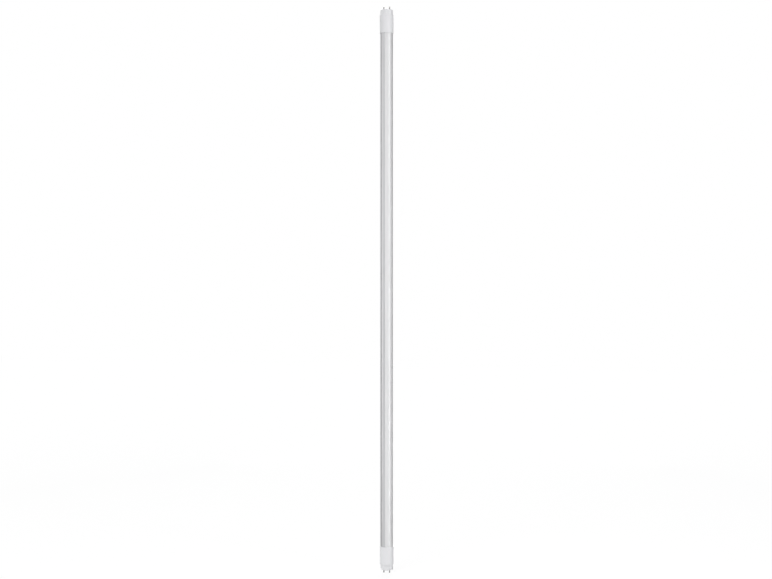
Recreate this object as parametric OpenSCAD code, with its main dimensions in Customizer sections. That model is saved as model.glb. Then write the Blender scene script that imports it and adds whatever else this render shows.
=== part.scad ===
// LED light tube with two-pin caps: an aluminium back and a frosted front closed by
// plastic sleeves, with a nose in each sleeve that turns to aim the light.
// The tube runs along Z, the light leaves along +X and the origin is at mid-length.

/* [Lamp] */
// Length between the two end faces that the contact pins stand out of
face_to_face = 1199.4; // [600:0.1:1500]
// Outside diameter of the tube
tube_d = 27; // [26.6:0.1:28]

/* [Contact pins] */
// Distance between the two pins of an end
pin_spacing = 12.7; // [12:0.1:13.4]
// Diameter of a pin
pin_d = 2.35; // [2.2:0.05:2.7]
// Length of a pin outside the end face
pin_length = 7.1; // [6:0.1:8]
// Radius that rounds the tip of a pin
pin_tip_r = 0.6; // [0.2:0.1:0.9]
// How much thicker a pin is, on the radius, where it is pressed into the nose
pin_seat_step = 0.2; // [0.2:0.05:0.25]
// Diameter of the flange that holds a pin inside the nose
pin_flange_d = 3.8; // [3.2:0.1:4.4]
// Thickness of that flange
pin_flange_t = 0.8; // [0.5:0.1:1.2]
// Diameter of the hollow tail that the lead is crimped in
pin_tail_d = 1.8; // [1.5:0.1:2.1]
// Length of that tail behind the flange
pin_tail = 3; // [2:0.1:3.6]
// Diameter of the blind hole in the tail
pin_hole_d = 1; // [0.6:0.1:1.1]

/* [Turning nose] */
// Outside diameter of the nose
nose_d = 27; // [26:0.1:28]
// Length of the nose in front of the sleeve
nose_length = 10.7; // [9.5:0.1:13]
// Thickness of the nose's side wall
nose_wall = 1.3; // [1:0.1:1.8]
// Thickness of the nose's end wall
nose_end = 2.4; // [1.8:0.1:3]
// Radius that rounds the rim of the end face
nose_round = 1.2; // [0.4:0.1:1.6]
// Gap that shows between the nose and the sleeve
nose_gap = 0.2; // [0.1:0.05:0.4]
// Bore of the sleeve's rim, in which the nose turns
rim_bore_d = 24.4; // [23.8:0.1:24.8]
// Play between the nose's journal and that bore, on the radius
journal_play = 0.08; // [0.02:0.01:0.1]
// Thickness of the journal's wall
journal_wall = 1.2; // [0.9:0.1:1.3]
// How far the snap bead stands out of the journal
bead_height = 0.58; // [0.3:0.02:0.66]
// Width of the snap bead along the axis
bead_width = 1.3; // [0.8:0.1:1.4]
// Number of snap fingers that the journal is slit into
finger_count = 6; // [3:1:8]
// Width of a slit between two fingers
finger_slit = 1.2; // [0.8:0.1:2]
// Turn from rest to either stop, in degrees
nose_turn = 90; // [45:1:120]
// Half of the angle that the stop lug covers, in degrees
lug_half_angle = 10; // [5:1:14]

/* [Sleeve] */
// Length of the sleeve outside
sleeve_length = 39; // [30:0.5:45]
// Thickness of the sleeve's wall over the tube
sleeve_wall = 1.1; // [0.8:0.1:1.5]
// Play between the sleeve and the tube, on the radius
sleeve_play = 0.1; // [0.05:0.01:0.2]
// Thickness of the rim that the nose turns in
rim_t = 3; // [2:0.1:3.4]
// Height of the room between the rim and the bulkhead
room_height = 4; // [3.8:0.1:6]
// Thickness of the bulkhead that the tube butts against
bulkhead_t = 2; // [1.5:0.1:3]
// Diameter of the hole in the bulkhead for the leads
lead_hole_d = 13; // [12.6:0.1:14.5]
// Radius that rounds the outer edges of the sleeve
sleeve_round = 0.7; // [0.2:0.1:0.9]

/* [Heat sink] */
// Depth of the grooves that make the fins
fin_depth = 0.7; // [0.4:0.1:0.9]
// Number of grooves
groove_count = 11; // [5:2:13]
// Angle between two grooves, in degrees
groove_pitch = 10; // [8:0.5:10]
// Width of a groove
groove_width = 1.2; // [0.8:0.1:1.4]
// Thickness of the wall under the grooves
sink_wall = 0.8; // [0.7:0.1:1.1]
// Thickness of the wall outside the cover's clip pockets
lip_wall = 1.1; // [0.8:0.1:1.2]
// Distance of the web's front face behind the seam
web_depth = 0.6; // [0.4:0.1:0.8]
// Thickness of the web
web_t = 1; // [0.8:0.1:1.4]
// Depth of the clip pockets below the seam
pocket_depth = 2.4; // [2.2:0.1:2.6]
// Metal between a pocket's floor and the screw channel behind it
pocket_floor = 1; // [0.8:0.1:1.2]
// Thickness of the rail on a pocket's inner side
pocket_rail = 1.1; // [0.9:0.1:1.3]

/* [Cover] */
// Thickness of the cover
cover_wall = 1; // [0.9:0.1:1.3]
// Play of the cover between the two bulkheads, at each end
cover_end_play = 0.3; // [0.1:0.1:0.4]
// Gap between cover and heat sink along the seam
seam_gap = 0.1; // [0.05:0.01:0.2]
// Thickness of the clip tongue
tongue_t = 0.7; // [0.6:0.05:0.8]
// How far the tongue reaches below the seam
tongue_reach = 2; // [1.8:0.1:2.1]
// Length of the barb at the end of the tongue
barb_length = 0.7; // [0.5:0.1:0.8]
// How far the barb stands out of the tongue
barb_height = 0.3; // [0.2:0.05:0.4]
// How far the foot that carries the tongue reaches above the seam
foot_height = 1; // [0.6:0.1:1.6]

/* [Light board] */
// Width of the board
board_w = 12; // [11:0.1:12.4]
// Thickness of the board
board_t = 1; // [0.8:0.1:1.6]
// Thickness of the adhesive tape under the board
tape_t = 0.2; // [0.1:0.05:0.25]
// Distance of the board's ends from the ends of the tube
board_inset = 5; // [4:0.5:8]
// Number of light-emitting diodes
led_count = 96; // [24:1:120]
// Distance between the outermost diodes and the sleeves
led_inset = 4; // [2:0.5:20]
// Length of a diode along the tube
led_length = 3.5; // [2:0.1:5]
// Width of a diode
led_width = 2.8; // [2:0.1:4]
// Height of a diode
led_height = 0.7; // [0.5:0.05:1]
// Diameter of the phosphor window in a diode
window_d = 2.2; // [1.2:0.1:2.4]
// Depth of the phosphor window
window_t = 0.3; // [0.1:0.05:0.4]

/* [Driver] */
// Length of the driver's board
driver_length = 180; // [170:1:240]
// Thickness of the driver's board
driver_t = 1.2; // [1:0.1:1.6]
// Distance of the driver's board from the end of the tube
driver_inset = 8; // [7:0.5:12]
// Thickness of the insulating film round the driver
film_t = 0.35; // [0.2:0.05:0.4]
// How far the film reaches past the board at each end
film_reach = 1; // [0.5:0.1:1.5]
// Diameter of the electrolytic capacitors
can_d = 6.3; // [5:0.1:6.4]
// Length of the input capacitor
input_can_length = 14; // [10:0.5:16]
// Length of the output capacitor
output_can_length = 11; // [9:0.5:13]
// Diameter of the wound chokes
choke_d = 6; // [5:0.1:6.4]
// Height of the wound chokes
choke_height = 6.2; // [5:0.1:6.4]

/* [Screws and leads] */
// Outside diameter of the screws' threads
screw_d = 2.4; // [2.2:0.1:2.4]
// Length of the screws under the head
screw_length = 9.5; // [8:0.5:12]
// Diameter of the screws' heads
screw_head_d = 4.6; // [4:0.1:4.8]
// Height of the screws' heads
screw_head_h = 1.8; // [1.4:0.1:1.9]
// Outside diameter of the screw channels
channel_d = 4; // [3.8:0.1:4.2]
// Bore of the screw channels
channel_bore_d = 2.5; // [2.4:0.05:2.6]
// Diameter of the insulated leads
lead_d = 1.3; // [1:0.1:1.4]

/* [Hidden] */
$fn = 96;

// Small amount by which a cut passes the face that it starts from.
cut = 1;
// Clearances that several fits share.
slide_play = 0.1;
snap_play = 0.15;
part_play = 0.3;
head_play = 0.5;

// Radii, from the outside in.
tube_r = tube_d / 2;
sleeve_bore_r = tube_r + sleeve_play;
sleeve_r = sleeve_bore_r + sleeve_wall;
sink_r = tube_r - fin_depth - sink_wall;
nose_r = nose_d / 2;
rim_r = rim_bore_d / 2;
journal_r = rim_r - journal_play;
bead_r = journal_r + bead_height;
stop_r = bead_r + slide_play;
lug_r = stop_r + 0.3;
room_r = lug_r + slide_play;
pin_r = pin_d / 2;
pin_seat_r = pin_r + pin_seat_step;

// Heights, from the middle of the tube out to an end.
face_z = face_to_face / 2;
step_z = face_z - nose_length;
bulkhead_z = step_z - rim_t - room_height;
tube_end_z = bulkhead_z - bulkhead_t;
sleeve_foot_z = step_z - sleeve_length;
bead_top_z = step_z - rim_t - part_play;
journal_foot_z = bead_top_z - bead_width;
pin_seat_z = face_z - nose_end;
pin_flange_z = pin_seat_z - pin_flange_t;
pin_tail_z = pin_flange_z - pin_tail;

// The heat sink's web and, from the outside in, the pockets and the cover's tongues in them.
web_x = -web_depth;
web_back_x = web_x - web_t;
pocket_r = tube_r - lip_wall;
tongue_y = sqrt(pocket_r * pocket_r - tongue_reach * tongue_reach) - slide_play - tongue_t;
catch_y = tongue_y - slide_play;
pocket_y = tongue_y - barb_height - snap_play;
catch_top_x = -0.2;
catch_foot_x = -tongue_reach + barb_length + snap_play;

// The screw channels, which lie as far out as the screws' heads can go in the sleeve's room.
channel_r = channel_d / 2;
channel_x = -pocket_depth - pocket_floor - channel_bore_d / 2;
channel_reach = room_r - screw_head_d / 2 - head_play;
channel_y = sqrt(channel_reach * channel_reach - channel_x * channel_x);
channel_slot = channel_bore_d / 2;

// The light board and what stands on it.
board_back_x = web_x + tape_t;
board_x = board_back_x + board_t;
board_end_z = tube_end_z - board_inset;
guide_y = board_w / 2 + slide_play;
guide_t = 1;
guide_lip = 0.5;
led_span = 2 * (sleeve_foot_z - led_inset) - led_length;
led_pitch = led_span / (led_count - 1);

// The driver, which fills the channel behind the web.
film_r = sink_r - part_play;
film_x = web_back_x - part_play;
film_half_w = channel_y - channel_r - part_play;
driver_back_x = film_x - film_t - slide_play;
driver_x = driver_back_x - driver_t;
driver_w = 2 * (film_half_w - film_t - slide_play);
driver_top_z = tube_end_z - driver_inset;
driver_foot_z = driver_top_z - driver_length;

// Leads.
lead_r = lead_d / 2;
lead_sides = 8;
lead_steps = 4;
pin_x = pin_spacing / 2;
side_lane_x = -7.3;
side_lane_y = film_half_w + lead_r + slide_play;

/* Shared shapes */

// One copy at each end: the lower one is the upper one turned over about X.
module at_end(upper) {
    if (upper) children();
    else rotate([180, 0, 0]) children();
}

module ring_2d(outer, inner) {
    difference() {
        circle(outer);
        circle(inner);
    }
}

// What rounding takes off the outer corner of a profile.
module corner_2d(round) {
    difference() {
        square(round + cut);
        circle(round);
    }
}

// A disc from z = 0 up to h, with its top edge rounded and its foot edge too if asked.
module rounded_disc(r, h, round, foot_round = 0) {
    rotate_extrude()
        difference() {
            square([r, h]);
            translate([r - round, h - round]) corner_2d(round);
            if (foot_round > 0)
                translate([r - foot_round, foot_round]) mirror([0, 1]) corner_2d(foot_round);
        }
}

module extrude_between(z0, z1) {
    translate([0, 0, z0])
        linear_extrude(z1 - z0)
            children();
}

// Mirrors its children to both sides of the middle plane.
module both_sides() {
    children();
    mirror([0, 1]) children();
}

// A block that stands on the driver's component side, centred on (y, z).
module on_driver(y, z, height, width, length) {
    translate([driver_x - height, y - width / 2, z - length / 2])
        cube([height, width, length]);
}

function unit(v) = v / norm(v);

// A smooth curve through the stops of a route: it leaves and reaches each along its heading there.
function curve_point(a, b, leaving, arriving, t) =
    a + (b - a) * (3 - 2 * t) * t * t
    + norm(b - a) * t * (1 - t) * (leaving * (1 - t) - arriving * t);
function headings(path) =
    [for (i = [0:len(path) - 1]) unit(path[min(i + 1, len(path) - 1)] - path[max(i - 1, 0)])];
function smooth(stops, steps) =
    let (along = headings(stops))
    concat([for (i = [0:len(stops) - 2], s = [0:steps - 1])
        curve_point(stops[i], stops[i + 1], along[i], along[i + 1], s / steps)],
    [stops[len(stops) - 1]]);
function normals(along, last, i = 0) =
    i == len(along) ? [] :
    let (n = unit(last - (last * along[i]) * along[i])) concat([n], normals(along, n, i + 1));

// An insulated lead that follows a route.
module lead(route) {
    path = smooth(route, lead_steps);
    along = headings(path);
    side = normals(along, [0, 1, 0]);
    points = [for (i = [0:len(path) - 1], k = [0:lead_sides - 1])
        let (turn = 360 * k / lead_sides)
        path[i] + lead_r * (cos(turn) * side[i] + sin(turn) * cross(along[i], side[i]))];
    walls = [for (i = [0:len(path) - 2], k = [0:lead_sides - 1])
        let (a = i * lead_sides + k, b = i * lead_sides + (k + 1) % lead_sides)
        [a, a + lead_sides, b + lead_sides, b]];
    ends = [[for (k = [0:lead_sides - 1]) k],
        [for (k = [lead_sides - 1:-1:0]) (len(path) - 1) * lead_sides + k]];
    polyhedron(points, concat(walls, ends));
}

/* Tube */

module groove_2d(turn) {
    rotate(180 + turn) {
        translate([tube_r - fin_depth + groove_width / 2, 0])
            circle(d = groove_width);
        translate([tube_r - fin_depth + groove_width / 2, -groove_width / 2])
            square([fin_depth + cut, groove_width]);
    }
}

// The pocket that one of the cover's tongues clips into, with the catch left on its inner side.
module pocket_2d() {
    intersection() {
        circle(pocket_r);
        difference() {
            translate([-pocket_depth, pocket_y])
                square([pocket_depth + cut, tube_r]);
            translate([catch_foot_x, pocket_y])
                square([catch_top_x - catch_foot_x, catch_y - pocket_y]);
        }
    }
}

module channel_2d() {
    translate([channel_x, channel_y]) circle(d = channel_bore_d);
    translate([channel_x - channel_slot / 2, channel_y - channel_r - cut])
        square([channel_slot, channel_r + cut]);
}

// A rail that holds an edge of the light board, with its lip over the board.
module guide_2d() {
    lip_x = board_x + slide_play;
    translate([web_x, guide_y]) square([lip_x + guide_lip - web_x, guide_t]);
    translate([lip_x, guide_y - guide_lip]) square([guide_lip, guide_t + guide_lip]);
}

module heat_sink_2d() {
    rail_y = pocket_y - pocket_rail;
    difference() {
        union() {
            intersection() {
                ring_2d(tube_r, sink_r);
                translate([-2 * tube_r, -tube_r]) square([2 * tube_r, 2 * tube_r]);
            }
            translate([web_back_x, -pocket_y]) square([web_t, 2 * pocket_y]);
            both_sides() {
                intersection() {
                    circle(tube_r);
                    translate([channel_x, rail_y]) square([-channel_x, tube_r]);
                }
                guide_2d();
                translate([channel_x, channel_y]) circle(channel_r);
            }
        }
        both_sides() {
            pocket_2d();
            channel_2d();
            translate([catch_top_x, rail_y - cut]) square([cut, catch_y - rail_y + cut]);
        }
        for (i = [0:groove_count - 1])
            groove_2d((i - (groove_count - 1) / 2) * groove_pitch);
    }
}

module heat_sink() {
    color("silver")
        extrude_between(-tube_end_z, tube_end_z)
            heat_sink_2d();
}

// One of the cover's clips: the foot, the tongue that reaches past the seam and its barb.
module clip_2d() {
    translate([-tongue_reach, tongue_y]) square([tongue_reach + foot_height, tongue_t]);
    translate([-tongue_reach, tongue_y - barb_height]) square([barb_length, barb_height + tongue_t / 2]);
    intersection() {
        circle(tube_r - cover_wall / 2);
        translate([seam_gap, tongue_y]) square([foot_height - seam_gap, tube_r]);
    }
}

module diffuser_cover() {
    end_z = tube_end_z - cover_end_play;
    color("white")
        extrude_between(-end_z, end_z) {
            intersection() {
                ring_2d(tube_r, tube_r - cover_wall);
                translate([seam_gap, -tube_r]) square([tube_r, 2 * tube_r]);
            }
            both_sides() clip_2d();
        }
}

/* Light board */

module thermal_tape() {
    color("gainsboro")
        translate([web_x, -board_w / 2, -board_end_z])
            cube([tape_t, board_w, 2 * board_end_z]);
}

module light_board() {
    color("white")
        translate([board_back_x, -board_w / 2, -board_end_z])
            cube([board_t, board_w, 2 * board_end_z]);
}

module at_leds() {
    for (i = [0:led_count - 1])
        translate([board_x, 0, -led_span / 2 + i * led_pitch])
            children();
}

module led_packages() {
    color("ivory")
        at_leds()
            difference() {
                translate([0, -led_width / 2, -led_length / 2])
                    cube([led_height, led_width, led_length]);
                translate([led_height - window_t, 0, 0])
                    rotate([0, 90, 0]) cylinder(d = window_d, h = window_t + cut);
            }
}

module led_windows() {
    color("gold")
        at_leds()
            translate([led_height - window_t, 0, 0])
                rotate([0, 90, 0]) cylinder(d = window_d, h = window_t);
}

/* Caps */

module screw_holes(d, z0, z1) {
    for (side = [-1, 1])
        translate([channel_x, side * channel_y, z0])
            cylinder(d = d, h = z1 - z0);
}

// The part of a turn between two angles, as a wedge from the axis out to r.
module wedge_2d(from, to, r) {
    steps = ceil((to - from) / 30);
    polygon(concat([[0, 0]], [for (i = [0:steps])
        let (a = from + (to - from) * i / steps) 1.2 * r * [cos(a), sin(a)]]));
}

// The two ends of the sleeve's stop lie this far past the lug's sides at its limits, in degrees.
stop_slack = 1;

module sleeve(upper) {
    stop_from = nose_turn + lug_half_angle + stop_slack;
    color("gainsboro")
        at_end(upper) {
            difference() {
                translate([0, 0, sleeve_foot_z])
                    rounded_disc(sleeve_r, sleeve_length, sleeve_round, sleeve_round / 2);
                translate([0, 0, sleeve_foot_z - cut])
                    cylinder(r = sleeve_bore_r, h = tube_end_z - sleeve_foot_z + cut);
                translate([0, 0, tube_end_z - cut])
                    cylinder(d = lead_hole_d, h = bulkhead_t + 2 * cut);
                screw_holes(screw_d + 2 * part_play, tube_end_z - cut, bulkhead_z + cut);
                translate([0, 0, bulkhead_z])
                    cylinder(r = room_r, h = room_height);
                translate([0, 0, bulkhead_z + room_height - cut])
                    cylinder(r = rim_r, h = rim_t + 2 * cut);
            }
            extrude_between(journal_foot_z - slide_play, bulkhead_z + room_height)
                intersection() {
                    ring_2d(room_r + sleeve_wall / 2, stop_r);
                    wedge_2d(stop_from, 360 - stop_from, sleeve_r);
                }
        }
}

module nose(upper) {
    shoulder_z = step_z + nose_gap;
    cavity_r = journal_r - journal_wall;
    color("gainsboro")
        at_end(upper)
            difference() {
                union() {
                    translate([0, 0, shoulder_z])
                        rounded_disc(nose_r, face_z - shoulder_z, nose_round);
                    translate([0, 0, journal_foot_z])
                        cylinder(r = journal_r, h = shoulder_z - journal_foot_z + cut);
                    translate([0, 0, journal_foot_z])
                        cylinder(r = bead_r, h = bead_width);
                    extrude_between(journal_foot_z, bead_top_z)
                        intersection() {
                            ring_2d(lug_r, journal_r - journal_wall / 2);
                            wedge_2d(-lug_half_angle, lug_half_angle, nose_r);
                        }
                }
                translate([0, 0, journal_foot_z - cut])
                    cylinder(r = cavity_r, h = pin_seat_z - journal_foot_z + cut);
                translate([0, 0, shoulder_z + nose_wall])
                    cylinder(r = nose_r - nose_wall, h = pin_seat_z - shoulder_z - nose_wall);
                for (i = [0:finger_count - 1])
                    rotate((i + 0.5) * 360 / finger_count)
                        translate([cavity_r - cut, -finger_slit / 2, journal_foot_z - cut])
                            cube([nose_r, finger_slit, step_z - journal_foot_z + cut]);
                for (side = [-1, 1])
                    translate([side * pin_x, 0, pin_seat_z - cut])
                        cylinder(r = pin_seat_r, h = nose_end + 2 * cut);
            }
}

module contact_pin(upper, side) {
    color("silver")
        at_end(upper)
            translate([side * pin_x, 0, 0])
                difference() {
                    union() {
                        translate([0, 0, face_z])
                            rounded_disc(pin_r, pin_length, pin_tip_r);
                        translate([0, 0, pin_seat_z])
                            cylinder(r = pin_seat_r, h = nose_end);
                        translate([0, 0, pin_flange_z])
                            cylinder(d = pin_flange_d, h = pin_flange_t);
                        translate([0, 0, pin_tail_z])
                            cylinder(d = pin_tail_d, h = pin_tail);
                    }
                    translate([0, 0, pin_tail_z - cut])
                        cylinder(d = pin_hole_d, h = pin_tail + cut);
                }
}

module screws(upper) {
    color("lightgrey")
        at_end(upper)
            difference() {
                union() {
                    screw_holes(screw_d, bulkhead_z - screw_length, bulkhead_z + cut / 2);
                    screw_holes(screw_head_d, bulkhead_z, bulkhead_z + screw_head_h);
                }
                for (side = [-1, 1], turn = [0, 90])
                    translate([channel_x, side * channel_y, bulkhead_z + screw_head_h])
                        rotate(turn)
                            cube([screw_head_d * 0.6, screw_head_d * 0.15, screw_head_h], center = true);
            }
}

/* Driver */

module driver_film_2d(shrink) {
    intersection() {
        circle(film_r - shrink);
        translate([-tube_r, shrink - film_half_w])
            square([tube_r + film_x - shrink, 2 * (film_half_w - shrink)]);
    }
}

module driver_film() {
    color("dimgray")
        extrude_between(driver_foot_z - film_reach, driver_top_z + film_reach)
            difference() {
                driver_film_2d(0);
                driver_film_2d(film_t);
            }
}

module driver_board() {
    color("seagreen")
        translate([driver_x, -driver_w / 2, driver_foot_z])
            cube([driver_t, driver_w, driver_length]);
}

// A cylinder that lies along the tube on the driver's board.
module lying_can(d, y, z0, z1) {
    translate([driver_x - d / 2, y, z0])
        cylinder(d = d, h = z1 - z0);
}

// Places along the driver: the mains side's from its upper end and the output side's from its foot.
fuse_z = driver_top_z - 15;
varistor_z = driver_top_z - 26;
input_choke_z = driver_top_z - 36;
rectifier_z = driver_top_z - 46;
film_capacitor_z = driver_top_z - 58;
input_can_z = driver_top_z - 74;
chip_z = driver_top_z - 92;
transistor_z = driver_top_z - 99;
transformer_z = driver_top_z - 108;
diode_z = driver_foot_z + 51;
output_can_z = driver_foot_z + 40;
output_choke_z = driver_foot_z + 26;

module fuse_resistor() {
    color("peru")
        lying_can(3, -2.5, fuse_z - 4, fuse_z + 4);
}

module varistor() {
    color("royalblue")
        translate([driver_x - 3.1, 0, varistor_z - 1.6])
            cylinder(d = 6.2, h = 3.2);
}

// A drum core: two flanges on a stem, standing on the board.
module choke_core(z) {
    flange = 1;
    color("dimgray")
        translate([driver_x, 0, z])
            rotate([0, -90, 0]) {
                cylinder(d = choke_d, h = flange);
                cylinder(d = choke_d / 2, h = choke_height);
                translate([0, 0, choke_height - flange]) cylinder(d = choke_d, h = flange);
            }
}

module choke_winding(z) {
    flange = 1;
    color("chocolate")
        translate([driver_x - flange, 0, z])
            rotate([0, -90, 0])
                difference() {
                    cylinder(d = choke_d - 0.6, h = choke_height - 2 * flange);
                    translate([0, 0, -cut]) cylinder(d = choke_d / 2, h = choke_height);
                }
}

module bridge_rectifier() {
    color("darkslategray")
        on_driver(0, rectifier_z, 2.5, 4, 4.8);
}

module film_capacitor() {
    color("khaki")
        on_driver(0, film_capacitor_z, 5.8, 6.4, 10.5);
}

module can_capacitor(z, length) {
    groove = 0.4;
    color("midnightblue")
        difference() {
            lying_can(can_d, 0, z - length / 2, z + length / 2);
            translate([driver_x - can_d / 2, 0, z - length / 2 + 1.6])
                rotate_extrude()
                    translate([can_d / 2, 0]) circle(groove);
        }
}

module control_chip() {
    legs = 4;
    color("darkslategray")
        on_driver(0, chip_z, 1.5, 3.8, 4.9);
    color("silver")
        for (side = [-1, 1], i = [0:legs - 1])
            on_driver(side * 2.5, chip_z + (i - (legs - 1) / 2) * 1.27, 0.25, 1.2, 0.4);
}

module chip_resistors() {
    rows = 4;
    color("black")
        for (side = [-1, 1], i = [0:rows - 1])
            on_driver(side * 4.8, chip_z + (i - (rows - 1) / 2) * 2.4, 0.5, 0.85, 1.6);
}

module power_transistor() {
    color("darkslategray")
        on_driver(0, transistor_z, 1.8, 3.5, 3.2);
    color("silver")
        on_driver(0, transistor_z + 2.1, 0.3, 3, 1);
}

// Two E-shaped halves round the winding.
module transformer_core() {
    color("dimgray")
        difference() {
            on_driver(0, transformer_z, 5.6, 9, 8.4);
            for (side = [-1, 1])
                translate([driver_x - 5.6 - cut, side * 2.6 - 1.1, transformer_z - 2.8])
                    cube([5.6 + 2 * cut, 2.2, 5.6]);
        }
}

module transformer_winding() {
    color("gold")
        difference() {
            on_driver(0, transformer_z, 5, 7.2, 5.4);
            on_driver(0, transformer_z, 5 + cut, 3.1, 5.4 + cut);
        }
}

module output_diode() {
    color("darkslategray")
        on_driver(0, diode_z, 2.2, 2.6, 4.3);
}

/* Leads */

lead_gap = 0.1;
lead_end_x = driver_x - lead_r - lead_gap;
light_end_x = board_x + lead_r + lead_gap;
lead_top_z = pin_tail_z - lead_gap;
pad_z = tube_end_z - 12;

// From the upper pins through the bulkhead down to the driver's mains end.
upper_front_route = [[pin_x, 0, lead_top_z], [pin_x, 0, lead_top_z - 2], [5.2, 1.6, step_z - 0.8],
    [2.2, 2.4, step_z - 2.6], [-1.2, 2.5, step_z - 3.8], [-3.4, 2.5, bulkhead_z + 0.4],
    [-4.9, 2.4, tube_end_z - 1.5], [lead_end_x - 0.2, 2.4, tube_end_z - 7], [lead_end_x, 2.4, pad_z]];
upper_rear_route = [[-pin_x, 0, lead_top_z], [-pin_x, 0, lead_top_z - 2], [-5.8, -1.6, step_z - 1],
    [-4.8, -2.4, bulkhead_z + 3], [-4.4, -2.5, tube_end_z + 1.5], [-4.9, -2.4, tube_end_z - 2.5],
    [lead_end_x - 0.15, -2.4, tube_end_z - 7], [lead_end_x, -2.4, pad_z]];

// From the lower pins to the near end of the light board, which carries their current along the tube.
lower_front_route = [[pin_x, 0, lead_top_z], [pin_x, 0, lead_top_z - 2], [5.6, -1.6, step_z - 1],
    [4.4, -2.3, bulkhead_z + 2.5], [3.6, -2.4, tube_end_z + 0.5], [2.4, -2.4, tube_end_z - 4],
    [light_end_x + 0.15, -2.4, tube_end_z - 8.5], [light_end_x, -2.4, pad_z]];
lower_rear_route = [[-pin_x, 0, lead_top_z], [-pin_x, 0, lead_top_z - 2], [-4.6, 1.8, step_z - 1],
    [-1.2, 2.5, step_z - 3.5], [1.8, 2.5, bulkhead_z + 1.6], [3, 2.4, tube_end_z],
    [2.2, 2.4, tube_end_z - 5], [light_end_x + 0.15, 2.4, tube_end_z - 9], [light_end_x, 2.4, pad_z]];

// From the driver's far end back along its side, over the end of the web and down to the light board.
positive_route = [[lead_end_x, 4.4, driver_foot_z + 4], [lead_end_x - 0.15, 4.4, driver_foot_z],
    [-5.2, 4.8, driver_foot_z - 4], [-6.4, 6.2, driver_foot_z - 5.5],
    [side_lane_x, side_lane_y, driver_foot_z - 2.5], [side_lane_x, side_lane_y, driver_foot_z + 8],
    [side_lane_x, side_lane_y, driver_top_z - 8], [side_lane_x, side_lane_y, driver_top_z + 2.5],
    [-5.6, 5.6, tube_end_z - 2.8], [-3.5, 4.3, tube_end_z + 0.3], [-1.5, 4.2, bulkhead_z + 1],
    [0.8, 4.2, bulkhead_z + 1.4], [2.3, 4.2, tube_end_z + 1], [2.2, 4.3, tube_end_z - 3],
    [light_end_x + 0.2, 4.4, tube_end_z - 7.5], [light_end_x, 4.4, pad_z]];

// From the light board's third track back to the driver's mains end.
return_route = [[light_end_x, 0, pad_z], [light_end_x + 0.2, 0, tube_end_z - 7], [2.1, 0, tube_end_z - 2.5],
    [1.6, 0, bulkhead_z], [-0.9, 0, bulkhead_z + 2.2], [-3.6, 0, bulkhead_z],
    [-4.9, 0, tube_end_z - 3], [lead_end_x - 0.15, 0, tube_end_z - 7.5], [lead_end_x, 0, pad_z]];

module coloured_lead(paint, upper, route) {
    color(paint)
        at_end(upper)
            lead(route);
}

/* Nodes */

heat_sink();
diffuser_cover();
thermal_tape();
light_board();
led_packages();
led_windows();
sleeve(true);  // upper_sleeve
sleeve(false);  // lower_sleeve
nose(true);  // upper_nose
nose(false);  // lower_nose
contact_pin(true, 1);  // upper_front_pin
contact_pin(true, -1);  // upper_rear_pin
contact_pin(false, 1);  // lower_front_pin
contact_pin(false, -1);  // lower_rear_pin
screws(true);  // upper_screws
screws(false);  // lower_screws
driver_board();
driver_film();
fuse_resistor();
varistor();
choke_core(input_choke_z);  // input_choke_core
choke_winding(input_choke_z);  // input_choke_winding
bridge_rectifier();
film_capacitor();
can_capacitor(input_can_z, input_can_length);  // input_capacitor
control_chip();
chip_resistors();
power_transistor();
transformer_core();
transformer_winding();
output_diode();
can_capacitor(output_can_z, output_can_length);  // output_capacitor
choke_core(output_choke_z);  // output_choke_core
choke_winding(output_choke_z);  // output_choke_winding
coloured_lead("sienna", true, upper_front_route);  // upper_front_lead
coloured_lead("sienna", true, upper_rear_route);  // upper_rear_lead
coloured_lead("royalblue", false, lower_front_route);  // lower_front_lead
coloured_lead("royalblue", false, lower_rear_route);  // lower_rear_lead
coloured_lead("firebrick", true, positive_route);  // positive_lead
mirror([0, 1, 0]) coloured_lead("black", true, positive_route);  // negative_lead
coloured_lead("royalblue", true, return_route);  // return_lead
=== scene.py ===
# LED light tube: an aluminium back and a frosted front between two caps whose noses turn.
from math import asin, cos, pi, radians, sin
import bmesh
import bpy
from mathutils import Matrix, Vector


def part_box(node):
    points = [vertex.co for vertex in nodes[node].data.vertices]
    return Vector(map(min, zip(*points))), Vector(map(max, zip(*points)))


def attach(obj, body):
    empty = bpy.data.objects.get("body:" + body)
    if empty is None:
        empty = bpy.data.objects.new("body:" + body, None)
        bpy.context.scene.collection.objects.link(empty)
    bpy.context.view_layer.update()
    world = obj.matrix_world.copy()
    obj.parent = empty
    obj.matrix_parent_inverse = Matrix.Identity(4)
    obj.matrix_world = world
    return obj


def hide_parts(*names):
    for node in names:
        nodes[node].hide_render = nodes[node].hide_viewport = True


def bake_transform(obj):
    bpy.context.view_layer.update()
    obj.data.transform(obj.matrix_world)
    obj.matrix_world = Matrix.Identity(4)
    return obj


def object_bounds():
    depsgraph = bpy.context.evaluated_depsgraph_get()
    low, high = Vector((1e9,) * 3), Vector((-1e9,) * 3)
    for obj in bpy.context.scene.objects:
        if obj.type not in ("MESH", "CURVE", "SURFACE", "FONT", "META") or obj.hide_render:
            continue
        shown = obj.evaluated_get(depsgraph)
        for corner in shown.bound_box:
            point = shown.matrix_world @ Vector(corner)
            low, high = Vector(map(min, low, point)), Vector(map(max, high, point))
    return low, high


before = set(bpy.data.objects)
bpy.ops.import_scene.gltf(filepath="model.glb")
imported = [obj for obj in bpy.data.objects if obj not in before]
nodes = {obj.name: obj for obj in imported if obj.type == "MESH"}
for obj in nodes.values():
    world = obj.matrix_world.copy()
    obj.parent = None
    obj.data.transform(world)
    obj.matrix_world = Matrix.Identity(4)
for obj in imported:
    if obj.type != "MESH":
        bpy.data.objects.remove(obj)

mm = 0.001
cadBox = [list(corner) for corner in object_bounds()]
print("frame loaded:", len(nodes), "nodes")


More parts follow.
